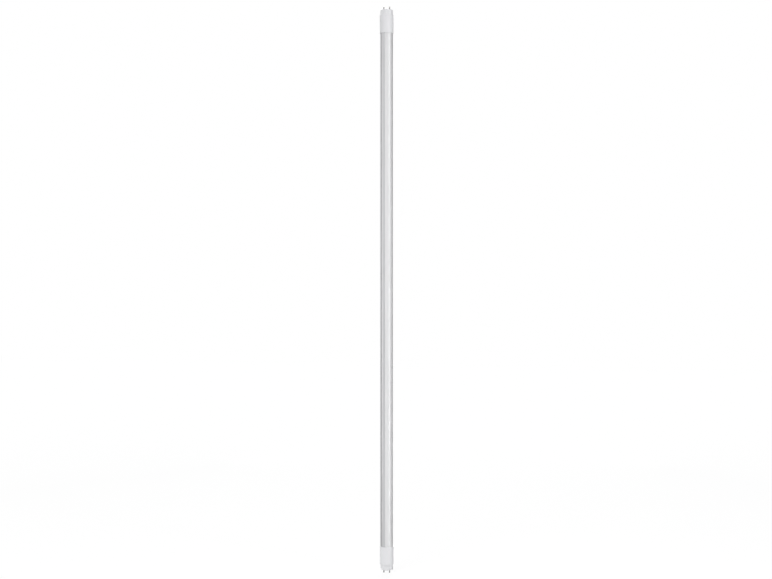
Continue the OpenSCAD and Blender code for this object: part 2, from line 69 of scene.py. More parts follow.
def addObject(name, data):
    thing = bpy.data.objects.new(name, data)
    bpy.context.scene.collection.objects.link(thing)
    return thing


def boxOf(node):
    # the low and high corner of a node, in millimetres
    low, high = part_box(node)
    return Vector(low) / mm, Vector(high) / mm


# Camera

shot = {
    "azimuth": 16,  # degrees round from the side that looks along +Y
    "distance": 2.7,
    "aside": -0.0016,  # how far the camera stands off the line to the lamp's middle
    "above": 0.0006,
    "lens": 58.68,
    "sensor": 36,
}


def addCamera():
    angle = radians(shot["azimuth"])
    outwards = Vector((sin(angle), -cos(angle), 0))
    rightwards = Vector((cos(angle), sin(angle), 0))
    data = bpy.data.cameras.new("camera")
    data.lens = shot["lens"]
    data.sensor_width = shot["sensor"]
    camera = addObject("camera", data)
    camera.location = shot["distance"] * outwards + shot["aside"] * rightwards
    camera.location.z = shot["above"]
    camera.rotation_euler = (pi / 2, 0, angle)
    bpy.context.scene.camera = camera
    bpy.context.scene.view_settings.view_transform = "Standard"


addCamera()
print("camera placed")


# Nodes: one way to add them to a shader's tree or a geometry tree

def addNode(tree, kind, inputs=(), **settings):
    # an input is a value, another node's socket, or another node, which stands for its first output
    node = tree.nodes.new(kind)
    for name, value in settings.items():
        setattr(node, name, value)
    for socket, value in dict(inputs).items():
        if isinstance(value, bpy.types.Node):
            value = value.outputs[0]
        if isinstance(value, bpy.types.NodeSocket):
            tree.links.new(value, node.inputs[socket])
        else:
            node.inputs[socket].default_value = value
    return node


def mathNode(tree, operation, first, second=0.0, third=0.0):
    return addNode(tree, "ShaderNodeMath", {0: first, 1: second, 2: third}, operation=operation).outputs[0]


def mixColours(tree, factor, first, second):
    # a colour is a socket, or red, green and blue
    first, second = [(*paint, 1) if isinstance(paint, tuple) else paint for paint in (first, second)]
    return addNode(tree, "ShaderNodeMix", {0: factor, 6: first, 7: second}, data_type="RGBA").outputs[2]


def rangeNode(tree, value, low, high, start=0.0, end=1.0):
    return addNode(tree, "ShaderNodeMapRange", {0: value, 1: low, 2: high, 3: start, 4: end}).outputs[0]


def startMaterial(name):
    material = bpy.data.materials.new(name)
    material.use_nodes = True
    material.node_tree.nodes.clear()
    return material, material.node_tree


# World, floor, cards and lamps

studio = {
    "ambient": (0.31, 0.312, 0.32),
    "floorColour": (0.86, 0.86, 0.86, 1),
    "floorSize": 14,
    "floorGlow": 0.9,  # share of the floor that is plain white to the camera
    "floorWhite": 1.02,
    "cardColour": (0.02, 0.02, 0.02, 1),
    "sunAway": 4,
}
suns = {  # degrees round from the camera's side and above the horizon; strength; softness in degrees
    "key": {"turn": -28, "rise": 46, "strength": 1.36, "softness": 24},
    "back": {"turn": 176, "rise": 30, "strength": 2.2, "softness": 30},
}
softboxes = {  # distance, height and size in metres, power in watts
    "highlight": {"turn": 47, "distance": 0.9, "height": 0.05, "size": (0.14, 1.8), "power": 4.4},
    "leftEdge": {"turn": -88, "distance": 3.0, "height": 0, "size": (0.3, 2.0), "power": 7.5},
    "fill": {"turn": -21, "distance": 3.0, "height": 0, "size": (0.35, 2.0), "power": 4.5},
}
flags = {  # black cards behind the lamp, unseen by the camera, that darken the edges of pale pieces
    "leftFlag": {"turn": -137, "distance": 1.6, "size": (1.5, 3.2)},
    "rightFlag": {"turn": 119, "distance": 1.6, "size": (1.9, 3.2)},
}


def whiteRays(tree, straight):
    # 1 for the rays that see plain white: mirrored ones, clear ones and a share of the camera's
    path = addNode(tree, "ShaderNodeLightPath").outputs
    seen = mathNode(tree, "MULTIPLY", path["Is Camera Ray"], straight)
    seen = mathNode(tree, "MAXIMUM", seen, path["Is Glossy Ray"])
    return mathNode(tree, "MAXIMUM", seen, path["Is Transmission Ray"])


def addWorld():
    world = bpy.data.worlds.new("studio")
    world.use_nodes = True
    tree = world.node_tree
    tree.nodes.clear()
    colour = mixColours(tree, whiteRays(tree, 1), studio["ambient"], (1, 1, 1))
    background = addNode(tree, "ShaderNodeBackground", {"Color": colour})
    addNode(tree, "ShaderNodeOutputWorld", {"Surface": background})
    bpy.context.scene.world = world


def addCard(name, wide, tall, material):
    mesh = bpy.data.meshes.new(name)
    x, y = wide / 2, tall / 2
    mesh.from_pydata([(-x, -y, 0), (x, -y, 0), (x, y, 0), (-x, y, 0)], [], [(0, 1, 2, 3)])
    mesh.materials.append(material)
    card = addObject(name, mesh)
    return card


def addFloor():
    material, tree = startMaterial("floor")
    paint = addNode(tree, "ShaderNodeBsdfDiffuse", {"Color": studio["floorColour"]})
    white = addNode(tree, "ShaderNodeEmission", {"Color": (1, 1, 1, 1), "Strength": studio["floorWhite"]})
    clear = addNode(tree, "ShaderNodeBsdfTransparent")
    side = addNode(tree, "ShaderNodeNewGeometry")
    lit = addNode(tree, "ShaderNodeMixShader", {0: whiteRays(tree, studio["floorGlow"]), 1: paint, 2: white})
    oneSided = addNode(tree, "ShaderNodeMixShader", {0: side.outputs["Backfacing"], 1: lit, 2: clear})
    addNode(tree, "ShaderNodeOutputMaterial", {"Surface": oneSided})
    floor = addCard("floor", studio["floorSize"], studio["floorSize"], material)
    floor.location.z = cadBox[0][2]
    floor.visible_glossy = False  # the lower end reflects the same white world as the upper


def put(thing, values, distance):
    # at its turn and rise round the lamp, facing the middle
    angle, rise = radians(shot["azimuth"] + values["turn"]), radians(values.get("rise", 0))
    thing.location = distance * Vector((sin(angle) * cos(rise), -cos(angle) * cos(rise), sin(rise)))
    thing.location.z += values.get("height", 0)
    thing.rotation_euler = thing.location.to_track_quat("Z", "Y").to_euler()
    thing.visible_camera = False


def addFlag(name, values):
    material, tree = startMaterial(name)
    black = addNode(tree, "ShaderNodeBsdfDiffuse", {"Color": studio["cardColour"]})
    addNode(tree, "ShaderNodeOutputMaterial", {"Surface": black})
    card = addCard(name, *values["size"], material)
    put(card, values, values["distance"])
    card.visible_shadow = card.visible_transmission = False


def addSun(name, values):
    data = bpy.data.lights.new(name, "SUN")
    data.energy = values["strength"]
    data.angle = radians(values["softness"])
    put(addObject(name, data), values, studio["sunAway"])


def addSoftbox(name, values):
    data = bpy.data.lights.new(name, "AREA")
    data.shape = "RECTANGLE"
    data.size, data.size_y = values["size"]
    data.energy = values["power"]
    put(addObject(name, data), values, values["distance"])


addWorld()
addFloor()
for addOne, kinds in ((addFlag, flags), (addSun, suns), (addSoftbox, softboxes)):
    for name, values in kinds.items():
        addOne(name, values)
print("studio lit by", len(suns), "suns and", len(softboxes), "softboxes, with", len(flags), "black cards")


# Shared effects, as shader groups

def startGroup(name, inputs, outputs):
    tree = bpy.data.node_groups.new(name, "ShaderNodeTree")
    for label, (kind, value) in inputs.items():
        socket = tree.interface.new_socket(name=label, in_out="INPUT", socket_type="NodeSocket" + kind)
        socket.default_value = value
    for label in outputs:
        tree.interface.new_socket(name=label, in_out="OUTPUT", socket_type="NodeSocketFloat")
    return tree, addNode(tree, "NodeGroupInput").outputs


def objectPlace(tree):
    return addNode(tree, "ShaderNodeTexCoord").outputs["Object"]


def objectAxes(tree):
    return addNode(tree, "ShaderNodeSeparateXYZ", {0: objectPlace(tree)}).outputs


def makeGrain():
    # fine marks that can be stretched one way: die lines, brushing, a moulded skin
    tree, given = startGroup(
        "grain",
        {"Scale": ("Vector", (1000, 1000, 1000)), "Detail": ("Float", 2), "Contrast": ("Float", 0.2)},
        ("Mask", "Height"))
    place = addNode(tree, "ShaderNodeVectorMath", {0: objectPlace(tree), 1: given["Scale"]},
                    operation="MULTIPLY")
    noise = addNode(tree, "ShaderNodeTexNoise", {"Vector": place, "Scale": 1, "Detail": given["Detail"]})
    low = mathNode(tree, "SUBTRACT", 0.5, given["Contrast"])
    high = mathNode(tree, "ADD", 0.5, given["Contrast"])
    mask = rangeNode(tree, noise.outputs[0], low, high)
    addNode(tree, "NodeGroupOutput", {"Mask": mask, "Height": noise})
    return tree


smearNoise = {"detail": 3, "from": 0.45, "to": 0.7}  # where in the noise a smear starts and is full


def makeHandling():
    # faint smears where hands have been, for the roughness
    tree, given = startGroup(
        "handling",
        {"Size": ("Float", 0.03), "Plain": ("Float", 0.4), "Smeared": ("Float", 0.5)}, ("Roughness",))
    frequency = mathNode(tree, "DIVIDE", 1, given["Size"])
    broad = addNode(tree, "ShaderNodeTexNoise",
                    {"Vector": objectPlace(tree), "Scale": frequency, "Detail": smearNoise["detail"]})
    mask = rangeNode(tree, broad.outputs[0], smearNoise["from"], smearNoise["to"])
    spread = mathNode(tree, "SUBTRACT", given["Smeared"], given["Plain"])
    roughness = mathNode(tree, "MULTIPLY_ADD", mask, spread, given["Plain"])
    addNode(tree, "NodeGroupOutput", {"Roughness": roughness})
    return tree


groups = {"grain": makeGrain(), "handling": makeHandling()}


def grainOf(tree, size, detail=2, contrast=0.2):
    # marks of this size in millimetres, the same along every axis or one for each
    scale = [1 / (axis * mm) for axis in (size if isinstance(size, tuple) else (size,) * 3)]
    return addNode(tree, "ShaderNodeGroup", {"Scale": scale, "Detail": detail, "Contrast": contrast},
                   node_tree=groups["grain"]).outputs


def handled(tree, size, roughness):
    # roughness where clean and where handled, in smears of this size in millimetres
    plain, smeared = roughness
    return addNode(tree, "ShaderNodeGroup", {"Size": size * mm, "Plain": plain, "Smeared": smeared},
                   node_tree=groups["handling"])


def bumpOf(tree, height, relief):
    return addNode(tree, "ShaderNodeBump", {"Height": height, "Distance": relief * mm})


# Materials, one for each slot of the record

finishes = {}


def makeMaterial(name, inputsOf, *values, **named):
    material, tree = startMaterial(name)
    shader = addNode(tree, "ShaderNodeBsdfPrincipled", inputsOf(tree, *values, **named))
    addNode(tree, "ShaderNodeOutputMaterial", {"Surface": shader})
    finishes[name] = material


def surfaceOf(tree, look, colour, height):
    return {"Base Color": colour, "Roughness": handled(tree, look["smears"], look["roughness"]),
            "Normal": bumpOf(tree, height, look["relief"])}


def grained(tree, colour, shade, roughness, grain, relief, inputs=(), detail=2, contrast=0.2, smears=30):
    marks = grainOf(tree, grain, detail, contrast)
    look = {"smears": smears, "roughness": roughness, "relief": relief}
    mixed = mixColours(tree, marks["Mask"], colour, shade)
    return {**surfaceOf(tree, look, mixed, marks["Height"]), **dict(inputs)}


metal = {"Metallic": 1}
insulation = ((0.4, 0.55), 0.3, 0.006)
plainLooks = {  # two shades, roughness clean and handled, grain and relief in mm, other shader inputs
    "cap_plastic": ((0.80, 0.80, 0.81), (0.775, 0.775, 0.785), (0.3, 0.4), 0.35, 0.012,
                    {"Diffuse Roughness": 1}),
    "plated_pin": ((0.29, 0.285, 0.28), (0.24, 0.235, 0.23), (0.24, 0.34), (0.08, 0.08, 2.0), 0.004, metal),
    "zinc_screw": ((0.66, 0.67, 0.69), (0.52, 0.54, 0.58), (0.28, 0.42), 0.3, 0.006, metal),
    "thermal_tape": ((0.62, 0.63, 0.62), (0.54, 0.55, 0.54), (0.7, 0.85), 0.6, 0.02),
    "led_frame": ((0.82, 0.80, 0.74), (0.76, 0.74, 0.68), (0.35, 0.45), 0.15, 0.004),
    "led_phosphor": ((0.86, 0.66, 0.12), (0.78, 0.55, 0.07), (0.3, 0.4), 0.12, 0.01),
    "insulating_film": ((0.05, 0.05, 0.055), (0.035, 0.035, 0.04), (0.35, 0.5), (0.5, 0.5, 6), 0.01),
    "black_epoxy": ((0.028, 0.028, 0.03), (0.04, 0.04, 0.042), (0.5, 0.62), 0.1, 0.006),
    "varistor_lacquer": ((0.03, 0.10, 0.32), (0.02, 0.07, 0.26), (0.3, 0.42), 0.5, 0.03),
    "ferrite": ((0.055, 0.052, 0.05), (0.085, 0.08, 0.078), (0.55, 0.7), 0.2, 0.012),
    "copper_winding": ((0.60, 0.22, 0.07), (0.48, 0.15, 0.04), (0.22, 0.32), 0.3, 0.003, metal),
    "film_capacitor_box": ((0.62, 0.48, 0.10), (0.56, 0.42, 0.08), (0.4, 0.5), 0.25, 0.008),
    "brown_insulation": ((0.16, 0.07, 0.03), (0.13, 0.055, 0.025), *insulation),
    "blue_insulation": ((0.02, 0.11, 0.42), (0.015, 0.09, 0.36), *insulation),
    "red_insulation": ((0.48, 0.02, 0.02), (0.40, 0.015, 0.015), *insulation),
    "black_insulation": ((0.03, 0.03, 0.032), (0.022, 0.022, 0.024), *insulation),
}
aluminiumLook = {  # die lines run the whole length of an extrusion
    "colour": (0.535, 0.535, 0.545), "shade": (0.475, 0.475, 0.485), "roughness": (0.36, 0.46),
    "grain": (0.9, 0.9, 400), "relief": 0.012, "detail": 4, "contrast": 0.22, "smears": 50,
    "inputs": metal,
}
coverLook = {  # an extruded milky plastic, a little uneven along its flow, with a glossy skin
    "colour": (0.705, 0.705, 0.71), "shade": (0.69, 0.69, 0.695), "roughness": (0.40, 0.5),
    "grain": (6, 6, 90), "relief": 0.01, "contrast": 0.25, "smears": 60,
    "inputs": {"Transmission Weight": 0.06, "IOR": 1.5, "Coat Weight": 1.0, "Coat Roughness": 0.12,
               "Coat IOR": 1.7},
}


def layer(tree, value, low, high, soft=0.01):
    # 1 where the object's own coordinate lies between low and high, in millimetres
    above = rangeNode(tree, value, (low - soft) * mm, (low + soft) * mm)
    below = rangeNode(tree, value, (high - soft) * mm, (high + soft) * mm, 1.0, 0.0)
    return mathNode(tree, "MULTIPLY", above, below)


whiteLook = {
    "mask": (0.84, 0.84, 0.82), "overGap": (0.74, 0.74, 0.72), "maskThick": 0.07,
    "glue": (0.42, 0.38, 0.27), "glueThick": 0.13, "core": (0.58, 0.58, 0.6),
    "copperHalf": 4.9, "gapHalf": 0.25, "fade": 0.1, "relief": 0.035, "roughness": (0.32, 0.42),
    "smears": 40,
}
diodes = {  # one size for the frames, the board's copper fields and the solder
    "count": 96, "length": 3.5, "width": 2.8,
    "draft": 0.12,  # how much narrower the frame is on top
    "rim": 0.08, "cornerCut": 0.25,
    "bowlRadius": 1.1, "bowlFoot": 0.9, "bowlDeep": 0.28,
    "fillBelow": 0.06, "fillPlay": 0.04, "fillSag": 0.05, "fillDeep": 0.2,
    "padLong": 0.7, "padWide": 2.2, "padHigh": 0.3, "padUnder": 0.25, "padFoot": 0.05, "padTop": 0.06,
}


def diodeRow():
    # height of the first diode's middle, and from each to the next
    low, high = boxOf("led_packages")
    pitch = (high.z - low.z - diodes["length"]) / (diodes["count"] - 1)
    return low.z + diodes["length"] / 2, pitch


def whiteBoard(tree):
    # white solder mask over copper fields, on an aluminium core that shows at the edges
    look = whiteLook
    top = boxOf("light_board")[1].x
    first, pitch = diodeRow()
    axes = objectAxes(tree)
    toCentre = mathNode(tree, "PINGPONG", mathNode(tree, "SUBTRACT", axes["Z"], first * mm), pitch * mm / 2)
    field = rangeNode(tree, toCentre, look["gapHalf"] * mm, (look["gapHalf"] + look["fade"]) * mm)
    across = mathNode(tree, "ABSOLUTE", axes["Y"])
    inside = rangeNode(tree, across, look["copperHalf"] * mm, (look["copperHalf"] + look["fade"]) * mm,
                       1.0, 0.0)
    copper = mathNode(tree, "MULTIPLY", field, inside)
    maskFoot = top - look["maskThick"]
    maskLayer = layer(tree, axes["X"], maskFoot, top + 1)
    glueLayer = layer(tree, axes["X"], maskFoot - look["glueThick"], maskFoot)
    painted = mixColours(tree, copper, look["overGap"], look["mask"])
    edge = mixColours(tree, glueLayer, look["core"], look["glue"])
    bare = mathNode(tree, "SUBTRACT", 1.0, mathNode(tree, "MAXIMUM", maskLayer, glueLayer))
    return {**surfaceOf(tree, look, mixColours(tree, maskLayer, edge, painted), copper), "Metallic": bare}


laminateLook = {
    "copper": (0.045, 0.21, 0.075), "bare": (0.028, 0.155, 0.055), "edge": (0.38, 0.36, 0.16),
    "mask": 0.05, "island": (20, 3.4, 9.0), "unevenness": 0.85, "gap": 0.2, "relief": 0.035,
    "roughness": (0.3, 0.4), "smears": 20,
}


def driverLaminate(tree):
    # green solder mask over islands of copper, with the glass fibre showing at the edges
    look = laminateLook
    low, high = boxOf("driver_board")
    sized = addNode(tree, "ShaderNodeVectorMath",
                    {0: objectPlace(tree), 1: [1 / size / mm for size in look["island"]]},
                    operation="MULTIPLY")
    islands = addNode(tree, "ShaderNodeTexVoronoi", {"Vector": sized, "Scale": 1.0,
                                                         "Randomness": look["unevenness"]},
                      feature="DISTANCE_TO_EDGE")
    gap = look["gap"] / look["island"][1] / 2
    copper = rangeNode(tree, islands.outputs["Distance"], gap, gap * 1.4)
    painted = mixColours(tree, copper, look["bare"], look["copper"])
    core = layer(tree, objectAxes(tree)["X"], low.x + look["mask"], high.x - look["mask"])
    return surfaceOf(tree, look, mixColours(tree, core, painted, look["edge"]), copper)


ringLook = {
    "body": (0.25, 0.38, 0.36), "roughness": 0.32, "grain": 0.4, "relief": 0.01, "half": 0.21,
    "rings": {-1.9: (0.16, 0.06, 0.02), -0.9: (0.02, 0.02, 0.02), -0.1: (0.02, 0.02, 0.02),
              1.7: (0.55, 0.38, 0.1)},  # how far from the middle, and the colour
}


def resistorLacquer(tree):
    look = ringLook
    low, high = boxOf("fuse_resistor")
    along = objectAxes(tree)["Z"]
    colour = look["body"]
    for place, paint in look["rings"].items():
        middle = (low.z + high.z) / 2 + place
        ring = layer(tree, along, middle - look["half"], middle + look["half"])
        colour = mixColours(tree, ring, colour, paint)
    return {"Base Color": colour, "Roughness": look["roughness"],
            "Normal": bumpOf(tree, grainOf(tree, look["grain"])["Height"], look["relief"])}


canLook = {
    "sleeve": (0.018, 0.025, 0.07), "shade": (0.024, 0.033, 0.085), "stripe": (0.5, 0.52, 0.56),
    "stripeFrom": 2.75, "stripeTo": 9, "grain": (1 / 1.5, 1 / 1.5, 4), "relief": 0.012,
    "roughness": (0.24, 0.34), "smears": 15,
}


def capacitorSleeve(tree):
    # shrunk vinyl with a plain pale stripe down the negative side
    look = canLook
    marks = grainOf(tree, look["grain"])
    shaded = mixColours(tree, marks["Mask"], look["sleeve"], look["shade"])
    stripe = layer(tree, objectAxes(tree)["Y"], look["stripeFrom"], look["stripeTo"])
    return surfaceOf(tree, look, mixColours(tree, stripe, shaded, look["stripe"]), marks["Height"])


tapeLook = {"tape": (0.74, 0.56, 0.08), "lap": (0.62, 0.44, 0.05), "lapEvery": 0.85, "lapFade": 0.12,
            "grain": 1 / 0.9, "relief": 0.02, "roughness": (0.2, 0.32), "smears": 10}


def transformerTape(tree):
    # polyester tape in laps, a little darker where it is double
    look = tapeLook
    lap = mathNode(tree, "PINGPONG", objectAxes(tree)["Z"], look["lapEvery"] * mm)
    lap = rangeNode(tree, lap, 0.0, look["lapFade"] * mm)
    height = mathNode(tree, "ADD", grainOf(tree, look["grain"])["Height"], lap)
    return surfaceOf(tree, look, mixColours(tree, lap, look["lap"], look["tape"]), height)


for name, look in plainLooks.items():
    makeMaterial(name, grained, *look)
makeMaterial("anodised_aluminium", grained, **aluminiumLook)
makeMaterial("frosted_cover", grained, **coverLook)
for name, inputsOf in {"white_board": whiteBoard, "driver_laminate": driverLaminate,
                       "resistor_lacquer": resistorLacquer, "capacitor_sleeve": capacitorSleeve,
                       "transformer_tape": transformerTape}.items():
    makeMaterial(name, inputsOf)
print("materials mixed:", len(finishes))


# Meshes, worked in millimetres and laid down in the frame's metres

def addPiece(name, shape, smoothBelow=35):
    bmesh.ops.remove_doubles(shape, verts=shape.verts[:], dist=0.0005)
    bmesh.ops.recalc_face_normals(shape, faces=shape.faces[:])
    bmesh.ops.scale(shape, vec=(mm, mm, mm), verts=shape.verts[:])
    mesh = bpy.data.meshes.new(name)
    shape.to_mesh(mesh)
    shape.free()
    piece = addObject(name, mesh)
    shadeSmooth(piece, smoothBelow)
    return piece


def shadeSmooth(piece, smoothBelow=35):
    piece.data.shade_smooth()
    piece.data.set_sharp_from_angle(angle=radians(smoothBelow))


def keepShape(piece, smoothBelow=35):
    # what the modifiers make becomes the piece's own mesh
    made = piece.evaluated_get(bpy.context.evaluated_depsgraph_get())
    mesh = bpy.data.meshes.new_from_object(made)
    piece.modifiers.clear()
    piece.data = mesh
    shadeSmooth(piece, smoothBelow)


def wear(piece, slotName, body, *stoodFor):
    # a finished piece gets its material and its body, and the nodes that it stands for are hidden
    piece.data.materials.clear()
    piece.data.materials.append(finishes[slotName])
    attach(piece, body)
    if stoodFor:
        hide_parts(*stoodFor)


def addComponent(name, slotName, shape, *stoodFor):
    wear(addPiece(name, shape), slotName, "tube", *stoodFor)


def arc(x, y, radius, start, end, steps):
    turns = [radians(start + (end - start) * k / steps) for k in range(steps + 1)]
    return [(x + radius * cos(turn), y + radius * sin(turn), 0) for turn in turns]


def bend(corner, before, after, cut, shares):
    # points of the curve that leaves and meets the corner's two lines that far from it
    back = cut * (before - corner).normalized()
    ahead = cut * (after - corner).normalized()
    return [corner + (1 - t) ** 2 * back + t ** 2 * ahead for t in shares]


def soften(corners, steps=3):
    # each corner (x, y, cut) of a closed outline becomes a curve that starts and ends that far from it
    points = [Vector(corner[:2]) for corner in corners]
    outline = []
    for i, point in enumerate(points):
        cut = corners[i][2]
        shares = [k / steps for k in range(steps + 1)]
        outline += bend(point, points[i - 1], points[(i + 1) % len(points)], cut, shares) if cut else [point]
    return outline


def skin(shape, loops, place=Matrix()):
    # a closed solid through loops of as many points each
    rings = [[shape.verts.new(place @ Vector(point)) for point in loop] for loop in loops]
    for here, there in zip(rings, rings[1:]):
        for k in range(len(here)):
            j = (k + 1) % len(here)
            shape.faces.new((here[k], here[j], there[j], there[k]))
    shape.faces.new(rings[0][::-1])
    shape.faces.new(rings[-1])
    return shape


def stretch(shape, outline, low, high, place=Matrix()):
    # a bar with the outline's section between two heights of its own Z
    return skin(shape, [[(x, y, z) for x, y in outline] for z in (low, high)], place)


def turn(shape, outline, place=Matrix(), steps=48):
    # a solid of revolution about its own Z through points (radius, height)
    columns = []
    for k in range(steps):
        angle = radians(360 * k / steps)
        columns.append([shape.verts.new(place @ Vector((r * cos(angle), r * sin(angle), z)))
                        for r, z in outline])
    solid = outline[0][0] == 0
    for k in range(steps):
        here, there = columns[k], columns[(k + 1) % steps]
        for i in range(len(outline) - solid):
            j = (i + 1) % len(outline)
            shape.faces.new((here[i], there[i], there[j], here[j]))
    return shape


def softBox(shape, low, high, soft=0.2, place=Matrix(), segments=2):
    part = bmesh.new()
    size = Matrix.Diagonal([b - a for a, b in zip(low, high)] + [1])
    middle = Matrix.Translation([(a + b) / 2 for a, b in zip(low, high)])
    bmesh.ops.create_cube(part, size=1, matrix=place @ middle @ size)
    bmesh.ops.bevel(part, geom=part.edges[:], offset=soft, segments=segments, profile=0.5,
                    affect="EDGES")
    mesh = bpy.data.meshes.new("part")
    part.to_mesh(mesh)
    part.free()
    shape.from_mesh(mesh)
    bpy.data.meshes.remove(mesh)


def bendWire(shape, stops, radius, place=Matrix(), sides=8):
    # a round wire through its stops, with a short curve at each bend
    points = [Vector(stop) for stop in stops]
    path = [points[0]]
    for before, corner, after in zip(points, points[1:], points[2:]):
        cut = min(2.5 * radius, (before - corner).length / 2, (after - corner).length / 2)
        path += bend(corner, before, after, cut, (0, 0.33, 0.67, 1))
    path.append(points[-1])
    heading = (path[1] - path[0]).normalized()
    side = heading.orthogonal().normalized()
    loops = []
    for i, point in enumerate(path):
        heading = (path[min(i + 1, len(path) - 1)] - path[max(i - 1, 0)]).normalized()
        side = (side - side.dot(heading) * heading).normalized()
        across = heading.cross(side)
        loops.append([point + radius * (cos(a) * side + sin(a) * across)
                      for a in (2 * pi * k / sides for k in range(sides))])
    skin(shape, loops, place)


# Geometry Nodes, for what repeats and what follows a line

def startTree(name, sizes):
    tree = bpy.data.node_groups.new(name, "GeometryNodeTree")
    for label, kind in {"Geometry": "Geometry", **sizes, "Material": "Material"}.items():
        tree.interface.new_socket(name=label, in_out="INPUT", socket_type="NodeSocket" + kind)
    tree.interface.new_socket(name="Geometry", in_out="OUTPUT", socket_type="NodeSocketGeometry")
    return tree, addNode(tree, "NodeGroupInput").outputs


def endTree(tree, geometry, given):
    real = addNode(tree, "GeometryNodeRealizeInstances", {"Geometry": geometry})
    painted = addNode(tree, "GeometryNodeSetMaterial", {"Geometry": real, "Material": given["Material"]})
    addNode(tree, "NodeGroupOutput", {"Geometry": painted})
    trees[tree.name] = tree


def copiesOf(tree, part, points, turned=(0, 0, 0)):
    held = addNode(tree, "GeometryNodeObjectInfo", {"Object": part})
    return addNode(tree, "GeometryNodeInstanceOnPoints",
                   {"Points": points, "Instance": held.outputs["Geometry"], "Rotation": turned})


def joinOf(tree, first, second):
    both = addNode(tree, "GeometryNodeJoinGeometry", {"Geometry": first})
    tree.links.new(second.outputs[0], both.inputs[0])
    return both


def makeBarTree():
    # a flat section is drawn out along Z
    tree, given = startTree("bar", {"Length": "Float"})
    along = addNode(tree, "ShaderNodeCombineXYZ", {"Z": given["Length"]})
    drawn = addNode(tree, "GeometryNodeExtrudeMesh",
                    {"Mesh": given["Geometry"], "Offset": along, "Offset Scale": 1.0, "Individual": False})
    foot = addNode(tree, "GeometryNodeFlipFaces", {"Mesh": given["Geometry"]})
    both = joinOf(tree, drawn, foot)
    closed = addNode(tree, "GeometryNodeMergeByDistance", {"Geometry": both, "Distance": 1e-6})
    endTree(tree, closed, given)


def makeCutTree():
    # the same cut at equal turns round Z
    tree, given = startTree("cutRound", {"Cutter": "Object", "Count": "Int", "First": "Float",
                                         "Pitch": "Float"})
    points = addNode(tree, "GeometryNodeMeshLine", {"Count": given["Count"], "Offset": (0, 0, 0)})
    number = addNode(tree, "GeometryNodeInputIndex").outputs[0]
    angle = mathNode(tree, "MULTIPLY_ADD", number, given["Pitch"], given["First"])
    turned = addNode(tree, "ShaderNodeCombineXYZ", {"Z": angle})
    copies = copiesOf(tree, given["Cutter"], points, turned)
    tools = addNode(tree, "GeometryNodeRealizeInstances", {"Geometry": copies})
    cut = addNode(tree, "GeometryNodeMeshBoolean",
                  {"Mesh 1": given["Geometry"], "Mesh 2": tools, "Self Intersection": True},
                  operation="DIFFERENCE", solver="EXACT")
    endTree(tree, cut, given)


def makeRowTree():
    # copies of one part at equal steps along a line
    tree, given = startTree("row", {"Part": "Object", "Count": "Int", "First": "Vector",
                                    "Step": "Vector"})
    points = addNode(tree, "GeometryNodeMeshLine",
                     {"Count": given["Count"], "Start Location": given["First"], "Offset": given["Step"]})
    endTree(tree, copiesOf(tree, given["Part"], points), given)


def makeSpotTree():
    # one copy of a part at each of the piece's own points
    tree, given = startTree("spots", {"Part": "Object"})
    endTree(tree, copiesOf(tree, given["Part"], given["Geometry"]), given)


def makeHelixTree():
    # a wire or a thread that winds up a cylinder
    tree, given = startTree("helix", {"Radius": "Float", "Height": "Float", "Turns": "Float",
                                      "Wire": "Float", "Sides": "Int", "Steps": "Int",
                                      "Place": "Vector", "Tilt": "Vector"})
    path = addNode(tree, "GeometryNodeCurveSpiral",
                   {"Resolution": given["Steps"], "Rotations": given["Turns"], "Height": given["Height"],
                    "Start Radius": given["Radius"], "End Radius": given["Radius"]})
    section = addNode(tree, "GeometryNodeCurvePrimitiveCircle",
                      {"Resolution": given["Sides"], "Radius": given["Wire"]})
    wire = addNode(tree, "GeometryNodeCurveToMesh",
                   {"Curve": path, "Profile Curve": section, "Fill Caps": True})
    placed = addNode(tree, "GeometryNodeTransform",
                     {"Geometry": wire, "Translation": given["Place"], "Rotation": given["Tilt"]})
    endTree(tree, joinOf(tree, given["Geometry"], placed), given)


trees = {}
for makeTree in (makeBarTree, makeCutTree, makeRowTree, makeSpotTree, makeHelixTree):
    makeTree()
print("geometry trees built:", len(trees))


def grow(piece, treeName, slotName, values, smoothBelow=35):
    # runs a tree on a piece and keeps what comes out as its plain mesh
    modifier = piece.modifiers.new(treeName, "NODES")
    modifier.node_group = trees[treeName]
    settings = {**values, "Material": finishes[slotName]}
    for item in trees[treeName].interface.items_tree:
        if item.in_out == "INPUT" and item.name in settings:
            modifier[item.identifier] = settings[item.name]
    keepShape(piece, smoothBelow)


def cutOut(piece, slotName, cutters, count=1, pitch=0.0):
    # takes a shape away from a piece, once or at equal turns about its middle one
    cutter = addPiece("cutter", cutters)
    first = -(count - 1) / 2 * pitch
    grow(piece, "cutRound", slotName, {"Cutter": cutter, "Count": count, "First": radians(first),
                                       "Pitch": radians(pitch)})
    bpy.data.objects.remove(cutter)


def windOn(piece, slotName, sizes, height, turns, sides, steps, place, tilt):
    # lays a helix on a piece; sizes are the radii of its run and its wire
    grow(piece, "helix", slotName,
         {"Radius": sizes[0] * mm, "Wire": sizes[1] * mm, "Height": height * mm, "Turns": turns,
          "Sides": sides, "Steps": steps, "Place": tuple(place * mm), "Tilt": tilt})


# Heat sink: half its section is drawn, mirrored, drawn out and grooved

